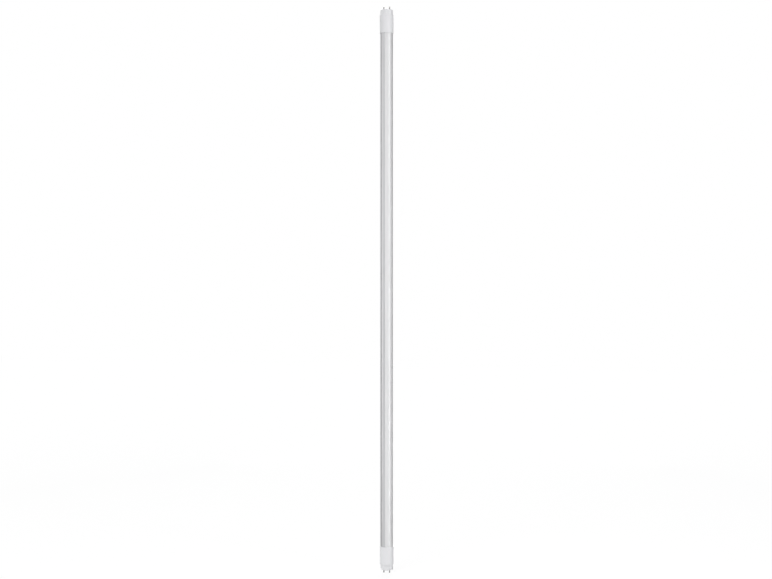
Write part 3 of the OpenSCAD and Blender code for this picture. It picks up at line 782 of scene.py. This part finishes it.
tube = {"radius": -boxOf("heat_sink")[0].x, "foot": boxOf("heat_sink")[0].z,
        "top": boxOf("heat_sink")[1].z}
sink = {
    "innerRadius": 12.0,
    "lipWall": 1.1, "lipFull": 91,  # degrees round to where the lip's edge starts
    "pocketDepth": 2.4, "pocketY": 10.99, "pocketPlay": 0.2,  # where the cover's tongues clip in
    "catchY": 11.34, "catchFrom": -1.15, "catchTo": -0.2,
    "railY": 9.89,
    "webFront": -0.6, "webBack": -1.6,
    "guideY": 6.1, "guideWide": 1.0, "guideReach": 1.2, "lipFrom": 0.7, "lipDrop": 0.5,
    "bossX": -4.65, "bossY": 9.30, "bossRadius": 2.0, "boreRadius": 1.25, "slotHalf": 0.625,
    "bossEnd": -157, "wallStart": 122.8,  # degrees where the screw channel runs into the wall
    "grooves": 11, "groovePitch": 10, "grooveWide": 1.2, "grooveDeep": 0.7, "flare": 0.08,
    "soft": 0.12,
}
overrun = 1  # how far a cutter goes past what it cuts


def degreesOf(sine):
    return asin(sine) * 180 / pi


def drawOut(name, half, node, slotName):
    # a section that is the same on both sides of Y = 0, over the node's length
    low, high = boxOf(node)
    shape = bmesh.new()
    for side in (1, -1):
        shape.faces.new([shape.verts.new((x, side * y, low.z)) for x, y in half[::side]])
    piece = addPiece(name, shape)
    if piece.data.polygons[0].normal.z < 0:
        piece.data.flip_normals()
    grow(piece, "bar", slotName, {"Length": (high.z - low.z) * mm})
    return piece


def sinkHalf():
    s = sink
    soft = s["soft"]
    lipRadius = tube["radius"] - s["lipWall"]
    pocketTop = (lipRadius ** 2 - s["pocketDepth"] ** 2) ** 0.5
    boss = Vector((s["bossX"], s["bossY"]))
    enter = degreesOf((s["railY"] - boss.y) / s["bossRadius"])
    slotTurn = degreesOf(s["slotHalf"] / s["bossRadius"])
    boreTurn = degreesOf(s["slotHalf"] / s["boreRadius"])
    guideTop = s["guideY"] + s["guideWide"]
    guideLip = s["guideY"] - s["lipDrop"]
    corners = arc(0, 0, tube["radius"], 180, s["lipFull"], 72)
    corners += [(0, tube["radius"], soft), (0, lipRadius, soft)]
    corners += arc(0, 0, lipRadius, s["lipFull"], 90 + degreesOf(s["pocketDepth"] / lipRadius), 6)
    corners += [
        (-s["pocketDepth"], pocketTop - s["pocketPlay"], 0), (-s["pocketDepth"], s["pocketY"], soft),
        (s["catchFrom"], s["pocketY"], soft), (s["catchFrom"], s["catchY"], soft),
        (s["catchTo"], s["catchY"], soft), (s["catchTo"], s["railY"], soft),
        (s["webFront"], s["railY"], soft), (s["webFront"], guideTop, soft),
        (s["guideReach"], guideTop, soft), (s["guideReach"], guideLip, soft),
        (s["lipFrom"], guideLip, soft), (s["lipFrom"], s["guideY"], soft),
        (s["webFront"], s["guideY"], soft), (s["webFront"], 0, 0),
        (s["webBack"], 0, 0), (s["webBack"], s["railY"], 2 * soft)]
    corners += arc(*boss, s["bossRadius"], enter, -90 + slotTurn, 10)
    corners += arc(*boss, s["boreRadius"], -90 + boreTurn, 270 - boreTurn, 20)
    corners += arc(*boss, s["bossRadius"], -90 - slotTurn, s["bossEnd"], 8)
    corners += arc(0, 0, s["innerRadius"], s["wallStart"], 180, 36)
    return soften(corners)


def grooveCutter():
    half, flare = sink["grooveWide"] / 2, sink["flare"]
    surface = -tube["radius"]
    left = [(surface - overrun, -half - flare, 0), (surface, -half - flare, 0), (surface + flare, -half, 0)]
    right = [(x, -y, cut) for x, y, cut in reversed(left)]
    corners = left + arc(surface + sink["grooveDeep"] - half, 0, half, -90, 90, 6) + right
    return stretch(bmesh.new(), soften(corners), tube["foot"] - overrun, tube["top"] + overrun)


def makeHeatSink():
    piece = drawOut("heatSink", sinkHalf(), "heat_sink", "anodised_aluminium")
    cutOut(piece, "anodised_aluminium", grooveCutter(), sink["grooves"], sink["groovePitch"])
    wear(piece, "anodised_aluminium", "tube", "heat_sink")


makeHeatSink()
print("heat sink drawn")


# Cover: the frosted half of the tube, with the tongues that clip into the heat sink

cover = {"wall": 1.0, "seamX": 0.1, "seamPlay": 0.003, "seamCut": 0.5, "tongueY": 11.44,
         "tongueThick": 0.7, "tongueReach": 2.0, "barbLong": 0.7, "barbHigh": 0.3, "footHigh": 1.0,
         "soft": 0.1}


def coverHalf():
    c = cover
    soft = c["soft"]
    outer, inner = tube["radius"], tube["radius"] - c["wall"]
    seamTurn = 90 - degreesOf(c["seamX"] / outer) - c["seamCut"]
    footTurn = 90 - degreesOf(c["footHigh"] / inner)
    top, barb = c["tongueY"] + c["tongueThick"], c["tongueY"] - c["barbHigh"]
    corners = arc(0, 0, outer, 0, seamTurn, 72)
    corners += [(c["seamX"], outer - c["seamPlay"], soft), (c["seamX"], top, 0),
                (-c["tongueReach"], top, 2 * soft), (-c["tongueReach"], barb, soft),
                (-c["tongueReach"] + c["barbLong"], barb, soft),
                (-c["tongueReach"] + c["barbLong"], c["tongueY"], soft / 2),
                (c["footHigh"], c["tongueY"], soft)]
    corners += arc(0, 0, inner, footTurn, 0, 64)
    return soften(corners)


def makeCover():
    piece = drawOut("diffuserCover", coverHalf(), "diffuser_cover", "frosted_cover")
    wear(piece, "frosted_cover", "tube", "diffuser_cover")


makeCover()
print("cover drawn")


# CAD nodes whose shape is right keep it and only change their material

for node in nodes.values():
    for slot in node.material_slots:
        slot.material = finishes[slot.material.name.split(".")[0]]
print("nodes dressed")


# Light board: laminate with edge notches, light-emitting diodes in a row and their solder

boardSizes = {"notches": 8, "notchRadius": 0.8, "corner": 0.6}
upright = Matrix(((0, 0, 1, 0), (1, 0, 0, 0), (0, 1, 0, 0), (0, 0, 0, 1)))  # a section's X to Y, Y to Z


def makeBoard(name, slotName, node, corner, notchHeights, notchRadius):
    # a laminate with cut corners and round notches in its long edges
    low, high = boxOf(node)
    half = high.y
    corners = [(-half, low.z, corner), (half, low.z, corner)]
    for z in notchHeights:
        corners += arc(half, z, notchRadius, 270, 90, 8)
    corners += [(half, high.z, corner), (-half, high.z, corner)]
    for z in reversed(notchHeights):
        corners += arc(-half, z, notchRadius, 90, -90, 8)
    addComponent(name, slotName, stretch(bmesh.new(), soften(corners), low.x, high.x, upright), node)


def makeLightBoard():
    low, high = boxOf("light_board")
    gap = (high.z - low.z) / boardSizes["notches"]
    heights = [low.z + (k + 0.5) * gap for k in range(boardSizes["notches"])]
    makeBoard("lightBoard", "white_board", "light_board", boardSizes["corner"], heights,
              boardSizes["notchRadius"])


def frameLoop(x, halfWide, halfLong):
    # twelve points round a rectangle with cut corners, starting at the middle of a side
    cut = diodes["cornerCut"]
    corner = [(halfWide, 0), (halfWide, halfLong - cut), (halfWide - cut, halfLong), (0, halfLong)]
    half = corner + [(-y, z) for y, z in corner[-2::-1]]
    return [(x, y, z) for y, z in half] + [(x, -y, -z) for y, z in half[1:-1]]


def bowlLoop(x, radius):
    # the same twelve directions as the frame's, on a circle
    frameSides = frameLoop(0, diodes["width"] / 2, diodes["length"] / 2)
    return [(x, *(Vector(point[1:]).normalized() * radius)) for point in frameSides]


def diodeFrame(top):
    d = diodes
    wide, long = d["width"] / 2, d["length"] / 2
    return skin(bmesh.new(), [
        frameLoop(0, wide, long),
        frameLoop(top - d["rim"], wide - d["draft"] / 2, long - d["draft"] / 2),
        frameLoop(top, wide - d["draft"], long - d["draft"]),
        bowlLoop(top, d["bowlRadius"]), bowlLoop(top - d["bowlDeep"], d["bowlFoot"])])


def diodeFill(top):
    d = diodes
    level = top - d["fillBelow"]
    return skin(bmesh.new(), [bowlLoop(level - d["fillDeep"], d["bowlFoot"]),
                              bowlLoop(level, d["bowlRadius"] - d["fillPlay"]),
                              bowlLoop(level - d["fillSag"], d["bowlRadius"] / 2)])


def diodeSolder():
    d = diodes
    long = d["length"] / 2
    inner, outer = long - d["padUnder"], long + d["padLong"]
    wedge = [(0, inner, 0), (0, outer, 0), (d["padFoot"], outer, 0), (d["padHigh"], long + d["padTop"], 0),
             (d["padHigh"], inner, 0)]
    shape = bmesh.new()
    for side in (1, -1):
        lying = Matrix(((1, 0, 0, 0), (0, 0, 1, 0), (0, side, 0, 0), (0, 0, 0, 1)))
        stretch(shape, soften(wedge), -d["padWide"] / 2, d["padWide"] / 2, lying)
    return shape


def makeDiodes():
    low, high = boxOf("led_packages")
    top = high.x - low.x
    first, pitch = diodeRow()
    row = {"Count": diodes["count"], "First": (low.x * mm, 0, first * mm), "Step": (0, 0, pitch * mm)}
    for name, shape, slotName, stoodFor in (
            ("diodeFrames", diodeFrame(top), "led_frame", ["led_packages"]),
            ("diodePhosphor", diodeFill(top), "led_phosphor", ["led_windows"]),
            ("diodeSolder", diodeSolder(), "plated_pin", [])):
        part = addPiece("part", shape)
        piece = addPiece(name, bmesh.new())
        grow(piece, "row", slotName, {"Part": part, **row})
        bpy.data.objects.remove(part)
        wear(piece, slotName, "tube", *stoodFor)


makeLightBoard()
makeDiodes()
print("light board fitted with", diodes["count"], "diodes")


# Caps: contact pins and the screws that hold each sleeve to the heat sink

pinSizes = {"radius": 1.175, "reach": 7.1, "tip": 0.6, "ringAt": 1.7, "ringDeep": 0.05, "ringHalf": 0.12,
            "seat": 0.2, "seatLong": 2.4, "flangeRadius": 1.9, "flangeThick": 0.8,
            "tailRadius": 0.9, "tailLong": 3.0, "crimpBore": 0.5}
screwSizes = {"shank": 0.95, "thread": 0.28, "pitch": 0.9, "headHigh": 1.8, "headSoft": 0.9,
              "tip": 1.6, "recessWide": 0.62, "recessLong": 2.7, "recessDeep": 1.2,
              "recessTurn": 0.4}  # how far each head stopped turning, in radians


def capEnd(low, high):
    # outer and inner height of a piece as if it stood in the upper cap, and what brings it to its own
    if high.z > 0:
        return high.z, low.z, Matrix()
    return -low.z, -high.z, Matrix.Rotation(pi, 4, "X")


def makePin(name, body):
    low, high = boxOf(name)
    p = pinSizes
    face, flip = capEnd(low, high)[::2]
    radius, seat = p["radius"], p["radius"] + p["seat"]
    step, ring = face - p["reach"], face - p["ringAt"]
    flange = step - p["seatLong"]
    back = flange - p["flangeThick"]
    tail = back - p["tailLong"]
    corners = [(0, face, 0), (radius, face, p["tip"]), (radius, ring, 0),
               (radius - p["ringDeep"], ring - p["ringHalf"], 0), (radius, ring - 2 * p["ringHalf"], 0),
               (radius, step, 0), (seat, step, 0.08), (seat, flange, 0),
               (p["flangeRadius"], flange, 0.15), (p["flangeRadius"], back, 0.15),
               (p["tailRadius"], back, 0.1), (p["tailRadius"], tail, 0.15),
               (p["crimpBore"], tail, 0.1), (p["crimpBore"], back, 0), (0, back, 0)]
    place = Matrix.Translation(((low.x + high.x) / 2, 0, 0)) @ flip
    piece = addPiece(name + "Turned", turn(bmesh.new(), soften(corners, 5), place, 40))
    wear(piece, "plated_pin", body, name)


def makeScrews(name):
    low, high = boxOf(name)
    s = screwSizes
    head, foot, flip = capEnd(low, high)
    under, point = head - s["headHigh"], foot + s["tip"]
    headRadius = (high.x - low.x) / 2
    x, y = (low.x + high.x) / 2, high.y - headRadius
    recess = Vector((s["recessLong"] / 2, s["recessWide"] / 2, head + overrun))
    recessFoot = (-recess.x, -recess.y, head - s["recessDeep"])
    heads, cutters = bmesh.new(), bmesh.new()
    for side in (1, -1):
        place = flip @ Matrix.Translation((x, side * y, 0))
        turn(heads, soften([(0, head, 0), (headRadius, head, s["headSoft"]), (headRadius, under, 0.2),
                            (s["shank"], under, 0.2), (s["shank"], point, 0), (0, foot, 0)], 5), place, 32)
        for angle in (0, pi / 2):
            turned = Matrix.Rotation(angle + s["recessTurn"] * side, 4, "Z")
            softBox(cutters, recessFoot, recess, 0.1, place @ turned, 1)
    piece = addPiece(name + "Driven", heads)
    cutOut(piece, "zinc_screw", cutters)
    length = under - point
    for side in (1, -1):
        windOn(piece, "zinc_screw", (s["shank"], s["thread"]), length, length / s["pitch"], 4, 20,
               flip @ Vector((x, side * y, point)), (0.0 if high.z > 0 else pi, 0.0, 0.0))
    wear(piece, "zinc_screw", "tube", name)


for end in ("upper", "lower"):
    for side in ("front", "rear"):
        makePin(end + "_" + side + "_pin", end + "_nose")
    makeScrews(end + "_screws")
print("pins turned and screws driven")


# Driver: its board and what stands on it. On the board, local X runs along the tube, Y across it
# and Z away from the board.

driver = {"corner": 1.0, "notchRadius": 1.2, "notchAt": 30, "pinWire": 0.3}
driverLow = boxOf("driver_board")[0]
solderSpots = []


def onDriver(y, z, legs=()):
    # the place of a component, whose legs' solder is noted for later
    place = (Matrix.Translation((driverLow.x, y, z))
             @ Matrix(((0, 0, -1, 0), (0, 1, 0, 0), (1, 0, 0, 0), (0, 0, 0, 1))))
    solderSpots.extend(place @ Vector((along, across, 0)) for along, across in legs)
    return place


def middleOf(node):
    low, high = boxOf(node)
    return (low + high) / 2


def mirrored(corners):
    return corners + [(x, -y, cut) for x, y, cut in reversed(corners)]


fuseSizes = {"lift": 1.5, "half": 2.9, "capRadius": 1.35, "capLong": 1.2, "radius": 1.1, "bodyHalf": 1.3,
             "soft": 0.5, "legs": 3.6, "wireFrom": 2.8}


def makeFuse():
    f = fuseSizes
    middle = middleOf("fuse_resistor")
    place = onDriver(middle.y, middle.z, [(-f["legs"], 0), (f["legs"], 0)])
    body, legs = bmesh.new(), bmesh.new()
    lying = place @ Matrix.Translation((0, 0, f["lift"])) @ Matrix.Rotation(pi / 2, 4, "Y")
    turn(body, soften(mirrored([(0, -f["half"], 0), (f["capRadius"], -f["half"], f["soft"]),
                                (f["capRadius"], f["capLong"] - f["half"], f["soft"]),
                                (f["radius"], -f["bodyHalf"], f["soft"])]), 4), lying, 32)
    for side in (1, -1):
        out = side * f["legs"]
        bendWire(legs, [(side * f["wireFrom"], 0, f["lift"]), (out, 0, f["lift"]), (out, 0, 0)],
                 driver["pinWire"], place)
    addComponent("fuseBody", "resistor_lacquer", body, "fuse_resistor")
    addComponent("fuseLegs", "plated_pin", legs)


varistorSizes = {"lift": 3.45, "radius": 2.7, "half": 1.3, "soft": 1.1, "legX": 0.7, "legY": 1.6,
                 "legHigh": 1.6, "drip": [(0, 0.6, 0), (0.55, 0.75, 0.2), (0.5, 2.0, 0.3), (0, 2.2, 0)]}


def makeVaristor():
    v = varistorSizes
    x, y = v["legX"], v["legY"]
    place = onDriver(0, middleOf("varistor").z, [(-x, -y), (x, y)])
    body, legs = bmesh.new(), bmesh.new()
    standing = place @ Matrix.Translation((0, 0, v["lift"])) @ Matrix.Rotation(pi / 2, 4, "Y")
    disc = mirrored([(0, -v["half"], 0), (v["radius"], -v["half"], v["soft"])])
    turn(body, soften(disc, 6), standing, 40)
    for side in (1, -1):
        foot = Vector((side * x, side * y, 0))
        bendWire(legs, [foot, foot + Vector((0, 0, v["legHigh"]))], driver["pinWire"], place)
        turn(body, soften(v["drip"]), place @ Matrix.Translation(foot), 12)
    addComponent("varistorDisc", "varistor_lacquer", body, "varistor")
    addComponent("varistorLegs", "plated_pin", legs)


chokeSizes = {"flange": 1.0, "rise": 0.2, "soft": 0.2, "dimple": 0.8, "dimpleDeep": 0.25, "wire": 0.19,
              "layerRadius": 2.42, "wireFrom": 0.15, "legX": 2.0, "legY": 0.8}


def makeChoke(kind):
    low, high = boxOf(kind + "_core")
    radius, height = (high.y - low.y) / 2, high.x - low.x
    c = chokeSizes
    soft, flange, dimple = c["soft"], c["flange"], c["dimple"]
    middle = (low + high) / 2
    place = onDriver(middle.y, middle.z, [(-c["legX"], c["legY"]), (c["legX"], -c["legY"])])
    stem, dip = radius / 2, height - c["dimpleDeep"]
    drum = [(0, 0, 0), (radius, 0, soft), (radius, flange, soft), (stem, flange + c["rise"], 0.1),
            (stem, height - flange - c["rise"], 0.1), (radius, height - flange, soft),
            (radius, height, soft), (dimple, height, 0), (dimple - 0.2, dip, 0), (0, dip, 0)]
    addComponent(kind + "Drum", "ferrite", turn(bmesh.new(), soften(drum), place, 40), kind + "_core")
    first, last = flange + c["wireFrom"], height - flange - c["wireFrom"]
    inner = c["layerRadius"] - 0.05
    fill = [(stem, first), (inner, first), (inner, last), (stem, last)]
    piece = addPiece(kind + "Wire", turn(bmesh.new(), fill, place, 32))
    span = last - first - 2 * c["wire"]
    windOn(piece, "copper_winding", (c["layerRadius"], c["wire"]), span, span / (2 * c["wire"]), 6, 32,
           place @ Vector((0, 0, first + c["wire"])), (0.0, -pi / 2, 0.0))
    wear(piece, "copper_winding", "tube", kind + "_winding")


blocks = {  # node: name, material, size along, across and high, lift, soft edge
    "bridge_rectifier": ("rectifierBody", "black_epoxy", (4.0, 3.8, 2.5), 0.2, 0.25),
    "film_capacitor": ("filmBox", "film_capacitor_box", (10.2, 6.2, 5.8), 0.3, 0.45),
    "output_diode": ("diodeBody", "black_epoxy", (3.9, 2.5, 2.2), 0.15, 0.25),
    "power_transistor": ("transistorBody", "black_epoxy", (3.1, 3.4, 1.8), 0.12, 0.2),
    "control_chip": ("chipBody", "black_epoxy", (4.9, 3.8, 1.5), 0.15, 0.2),
}
blockLegs = {  # node: along, across, reach and width of each flat leg
    "bridge_rectifier": [(x, y, 0.9, 0.7) for x in (-1.2, 1.2) for y in (-2.3, 2.3)],
    "output_diode": [(-2.3, 0, 0.8, 1.4), (2.3, 0, 0.8, 1.4)],
    "power_transistor": [(-1.9, y, 0.8, 0.6) for y in (-1.1, 1.1)] + [(2.1, 0, 1.0, 2.6)],
    "control_chip": [((k - 1.5) * 1.27, side * 2.9, 1.2, 0.4) for k in range(4) for side in (-1, 1)],
}


legSizes = {"thick": 0.25, "knee": 0.2, "under": 0.5, "over": 0.7, "bend": 0.1}


def makeBlock(node):
    # a moulded body above the board on flat legs that are bent outwards
    name, slotName, (along, across, high), lift, soft = blocks[node]
    legs = blockLegs.get(node, [])
    s = legSizes
    middle = middleOf(node)
    place = onDriver(middle.y, middle.z, [leg[:2] for leg in legs])
    body, feet = bmesh.new(), bmesh.new()
    softBox(body, (-along / 2, -across / 2, lift), (along / 2, across / 2, high), soft, place)
    for x, y, reach, width in legs:
        foot = [(0, 0, 0), (s["thick"], 0, 0), (s["thick"], lift + s["knee"], s["bend"]),
                (reach, lift + s["under"], s["bend"]), (reach, lift + s["over"], 0),
                (0, lift + s["over"], s["thick"])]
        if abs(y) > abs(x):
            aim = pi / 2 if y < 0 else -pi / 2
        else:
            aim = 0 if x < 0 else pi
        stand = (place @ Matrix.Translation((x, y, 0)) @ Matrix.Rotation(aim, 4, "Z")
                 @ Matrix.Rotation(pi / 2, 4, "X"))
        stretch(feet, soften(foot), -width / 2, width / 2, stand)
    addComponent(name, slotName, body, node)
    if legs:
        addComponent(name + "Legs", "plated_pin", feet)


canSizes = {"grooveAt": 1.6, "grooveDeep": 0.35, "grooveLong": 0.5, "soft": 0.35, "rimWidth": 0.7,
            "lip": 0.3, "endDeep": 0.05, "bungDeep": 0.25, "ventDeep": 0.12, "ventHalf": 0.12,
            "legReach": 1.4, "legSpacing": 1.25, "legWire": 0.28}


def makeCan(kind):
    low, high = boxOf(kind + "_capacitor")
    c = canSizes
    radius, foot, top = (high.y - low.y) / 2, low.z, high.z
    lying = Matrix.Translation(((low.x + high.x) / 2, 0, 0))
    inner, waist = radius - c["rimWidth"], radius - c["grooveDeep"]
    seat, mid = inner + 0.1, foot + c["grooveAt"]
    plateTop, bungFoot = top - c["endDeep"], foot + c["bungDeep"]
    legs, vents = bmesh.new(), bmesh.new()
    sleeve = turn(bmesh.new(), soften([
        (inner, foot, 0.1), (radius, foot, c["soft"]), (radius, mid - c["grooveLong"], 0.2),
        (waist, mid - 0.1, 0.1), (waist, mid + 0.1, 0.1), (radius, mid + c["grooveLong"], 0.2),
        (radius, top, c["soft"]), (inner, top, 0.1), (inner, top - c["lip"], 0),
        (inner, foot + c["lip"], 0)], 4), lying, 40)
    end = [(0, top - c["lip"], 0), (seat, top - c["lip"], 0), (seat, plateTop, 0.05), (0, plateTop, 0)]
    bung = [(0, bungFoot, 0), (seat, bungFoot, 0.1), (seat, foot + 0.6, 0), (0, foot + 0.6, 0)]
    spots = [(0, side * c["legSpacing"]) for side in (1, -1)]
    place = onDriver(0, foot - c["legReach"], spots)
    for x, y in spots:
        bendWire(legs, [(c["legReach"] + 0.5, y, radius), (x, y, radius), (x, y, 0)], c["legWire"], place)
    for angle in (0, pi / 2):
        reach = inner * 0.75
        softBox(vents, (-reach, -c["ventHalf"], plateTop - c["ventDeep"]), (reach, c["ventHalf"], top + 0.5),
                0.02, lying @ Matrix.Rotation(angle, 4, "Z"), 1)
    addComponent(kind + "CanSleeve", "capacitor_sleeve", sleeve, kind + "_capacitor")
    plate = addPiece(kind + "CanEnd", turn(bmesh.new(), soften(end), lying, 40))
    cutOut(plate, "anodised_aluminium", vents)
    wear(plate, "anodised_aluminium", "tube")
    addComponent(kind + "CanBung", "black_epoxy", turn(bmesh.new(), soften(bung), lying, 40))
    addComponent(kind + "CanLegs", "plated_pin", legs)


chipSizes = {"rows": 4, "long": 1.6, "wide": 0.85, "tall": 0.5, "filmIn": 0.2, "filmPlay": 0.03,
             "filmFoot": 0.02, "capHalf": 0.14, "padHalf": 0.3, "padOver": 0.1, "padHigh": 0.08}


def makeChipResistors():
    # ceramic with a dark film on top and a tinned cap on each end, on a pad of solder
    low, high = boxOf("chip_resistors")
    s = chipSizes
    long, wide = s["long"] / 2, s["wide"] / 2
    films, caps = bmesh.new(), bmesh.new()
    step = (high.z - low.z - s["long"]) / (s["rows"] - 1)
    for side in (1, -1):
        for k in range(s["rows"]):
            place = onDriver(side * (high.y - wide), low.z + long + k * step)
            filmLong, filmWide = long - s["filmIn"], wide - s["filmPlay"]
            softBox(films, (-filmLong, -filmWide, s["filmFoot"]), (filmLong, filmWide, s["tall"]), 0.05,
                    place, 1)
            for end in (-1, 1):
                x = end * (long - s["capHalf"])
                softBox(caps, (x - s["capHalf"], -wide, 0), (x + s["capHalf"], wide, s["tall"]), 0.06, place)
                softBox(caps, (x - s["padHalf"], -wide - s["padOver"], 0),
                        (x + s["padHalf"], wide + s["padOver"], s["padHigh"]), 0.03, place, 1)
    addComponent("resistorFilms", "black_epoxy", films, "chip_resistors")
    addComponent("resistorCaps", "plated_pin", caps)


transformerSizes = {"wide": 9.0, "long": 8.4, "high": 5.4, "lift": 0.7, "yoke": 1.4, "limb": 0.8,
                    "gap": 0.03, "core": 1.5, "coreIn": 0.9, "railWide": 3.6, "railLift": 0.1,
                    "windingWide": 3.5, "windingLong": 2.65, "windingHigh": 5.5, "windingLow": 0.2,
                    "layers": 5, "layerThick": 0.09, "layerShort": 0.16, "round": 0.7,
                    "pins": 4, "pinPitch": 1.9, "pinIn": 0.5}


def makeTransformer():
    t = transformerSizes
    wide, long = t["wide"] / 2, t["long"] / 2
    inner = long - t["yoke"]
    limbIn = wide - t["limb"]
    row = [(k - (t["pins"] - 1) / 2) * t["pinPitch"] for k in range(t["pins"])]
    pinPlaces = [(end * (long - t["pinIn"]), y) for end in (-1, 1) for y in row]
    place = onDriver(0, middleOf("transformer_core").z, pinPlaces)
    core, winding, bobbin, pins = bmesh.new(), bmesh.new(), bmesh.new(), bmesh.new()

    def block(shape, alongs, acrosses, heights, soft, segments=2):
        softBox(shape, *zip(sorted(alongs), acrosses, heights), soft, place, segments)

    for end in (-1, 1):
        block(core, (end * long, end * inner), (-wide, wide), (t["lift"], t["high"]), 0.25)
        for limb in ((-wide, -limbIn), (limbIn, wide)):
            block(core, (end * (inner + 0.2), end * t["gap"]), limb, (t["lift"], t["high"]), 0.1)
        block(bobbin, (end * inner, end * long), (-t["railWide"], t["railWide"]),
              (t["railLift"], t["lift"]), 0.15)
    block(core, (-inner, inner), (-t["core"], t["core"]),
          (t["lift"] + t["coreIn"], t["high"] - t["coreIn"]), 0.1)
    for k in range(t["layers"]):
        shrink = t["layerThick"] * (t["layers"] - 1 - k)
        reach = t["windingLong"] * (1 - t["layerShort"] * k)
        across = t["windingWide"] - shrink
        block(winding, (-reach, reach), (-across, across),
              (t["windingLow"] + shrink, t["windingHigh"] - shrink), t["round"] - shrink, 3)
    for along, across in pinPlaces:
        bendWire(pins, [(along, across, 0), (along, across, 0.4)], driver["pinWire"], place)
    addComponent("transformerCore", "ferrite", core, "transformer_core")
    addComponent("transformerWinding", "transformer_tape", winding, "transformer_winding")
    addComponent("transformerBobbin", "black_epoxy", bobbin)
    addComponent("transformerPins", "plated_pin", pins)


makeBoard("driverLaminate", "driver_laminate", "driver_board", driver["corner"],
          [driverLow.z + driver["notchAt"]], driver["notchRadius"])
makeFuse()
makeVaristor()
makeChoke("input_choke")
makeChoke("output_choke")
for node in blocks:
    makeBlock(node)
makeCan("input")
makeCan("output")
makeChipResistors()
makeTransformer()
print("driver fitted,", len(solderSpots), "joints to solder")


# Leads keep the routes of their nodes and get round walls

leads = {  # the insulation of each, and the nose at its end
    "upper_front_lead": ("brown_insulation", "upper_nose"),
    "upper_rear_lead": ("brown_insulation", "upper_nose"),
    "lower_front_lead": ("blue_insulation", "lower_nose"),
    "lower_rear_lead": ("blue_insulation", "lower_nose"),
    "positive_lead": ("red_insulation", None),
    "negative_lead": ("black_insulation", None),
    "return_lead": ("blue_insulation", None),
}


def makeLead(name):
    piece = addObject(name + "Wire", nodes[name].data.copy())
    shape = bmesh.new()
    shape.from_mesh(piece.data)
    bmesh.ops.remove_doubles(shape, verts=shape.verts[:], dist=1e-6)
    bmesh.ops.dissolve_limit(shape, angle_limit=radians(1), verts=shape.verts[:], edges=shape.edges[:])
    sharp = shape.edges.layers.float.new("crease_edge")
    for face in shape.faces:
        for edge in face.edges if len(face.verts) > 4 else ():
            edge[sharp] = 1
    shape.to_mesh(piece.data)
    shape.free()
    piece.data.materials.clear()
    smoothing = piece.modifiers.new("round", "SUBSURF")
    smoothing.levels = smoothing.render_levels = 1
    keepShape(piece, 60)
    return piece


def dressLead(name, slotName, nose):
    piece = makeLead(name)
    piece.data.materials.append(finishes[slotName])
    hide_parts(name)
    if nose is None:
        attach(piece, "tube")
        return
    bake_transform(piece)


for name, (slotName, nose) in leads.items():
    dressLead(name, slotName, nose)
print("leads run:", len(leads))


# Solder joints, one at each leg and at the end of each lead

jointSizes = {"radius": 0.7, "high": 0.4, "sunk": 0.02, "padRadius": 0.85, "padHigh": 0.06,
              "waist": 0.55, "neck": 0.45, "dome": 1.05, "sides": 12}
leadSizes = {"radius": 0.65, "endIn": 0.5, "sideY": 4.4, "footUp": 3.5, "topDown": 11.5}


def leadEnds():
    # where the leads meet the driver and the light board
    onBoard, onLights = [], []
    s = leadSizes
    lightTop = boxOf("light_board")[1].x
    for name in leads:
        low, high = boxOf(name)
        across = low.y + s["radius"] if low.y < -1 else high.y - s["radius"]
        if name.startswith("upper"):
            onBoard.append((driverLow.x, across, low.z + s["endIn"]))
        elif name.startswith("lower"):
            onLights.append((lightTop, across, high.z - s["endIn"]))
        elif name == "return_lead":
            onBoard.append((driverLow.x, 0, low.z + s["endIn"]))
            onLights.append((lightTop, 0, low.z + s["endIn"]))
        else:
            y = s["sideY"] if high.y > 5 else -s["sideY"]
            onBoard.append((driverLow.x, y, driverLow.z + s["footUp"]))
            onLights.append((lightTop, y, tube["top"] - s["topDown"]))
    return onBoard, onLights


def makeJoints(name, spots, towards):
    j = jointSizes
    tilt = Matrix.Rotation(towards * pi / 2, 4, "Y")
    outline = soften([
        (0, -j["sunk"], 0), (j["padRadius"], -j["sunk"], 0), (j["padRadius"], j["padHigh"], 0.02),
        (j["radius"], j["padHigh"], 0), (j["radius"] * j["waist"], j["high"] * j["waist"], 0.15),
        (j["radius"] * j["neck"], j["high"], 0.1), (0, j["high"] * j["dome"], 0)])
    part = addPiece("joint", turn(bmesh.new(), outline, tilt, j["sides"]))
    places = bmesh.new()
    for spot in spots:
        places.verts.new(spot)
    piece = addPiece(name, places)
    grow(piece, "spots", "plated_pin", {"Part": part}, 60)
    bpy.data.objects.remove(part)
    wear(piece, "plated_pin", "tube")


boardEnds, lightEnds = leadEnds()
makeJoints("driverJoints", solderSpots + boardEnds, -1)
makeJoints("lightJoints", lightEnds, 1)
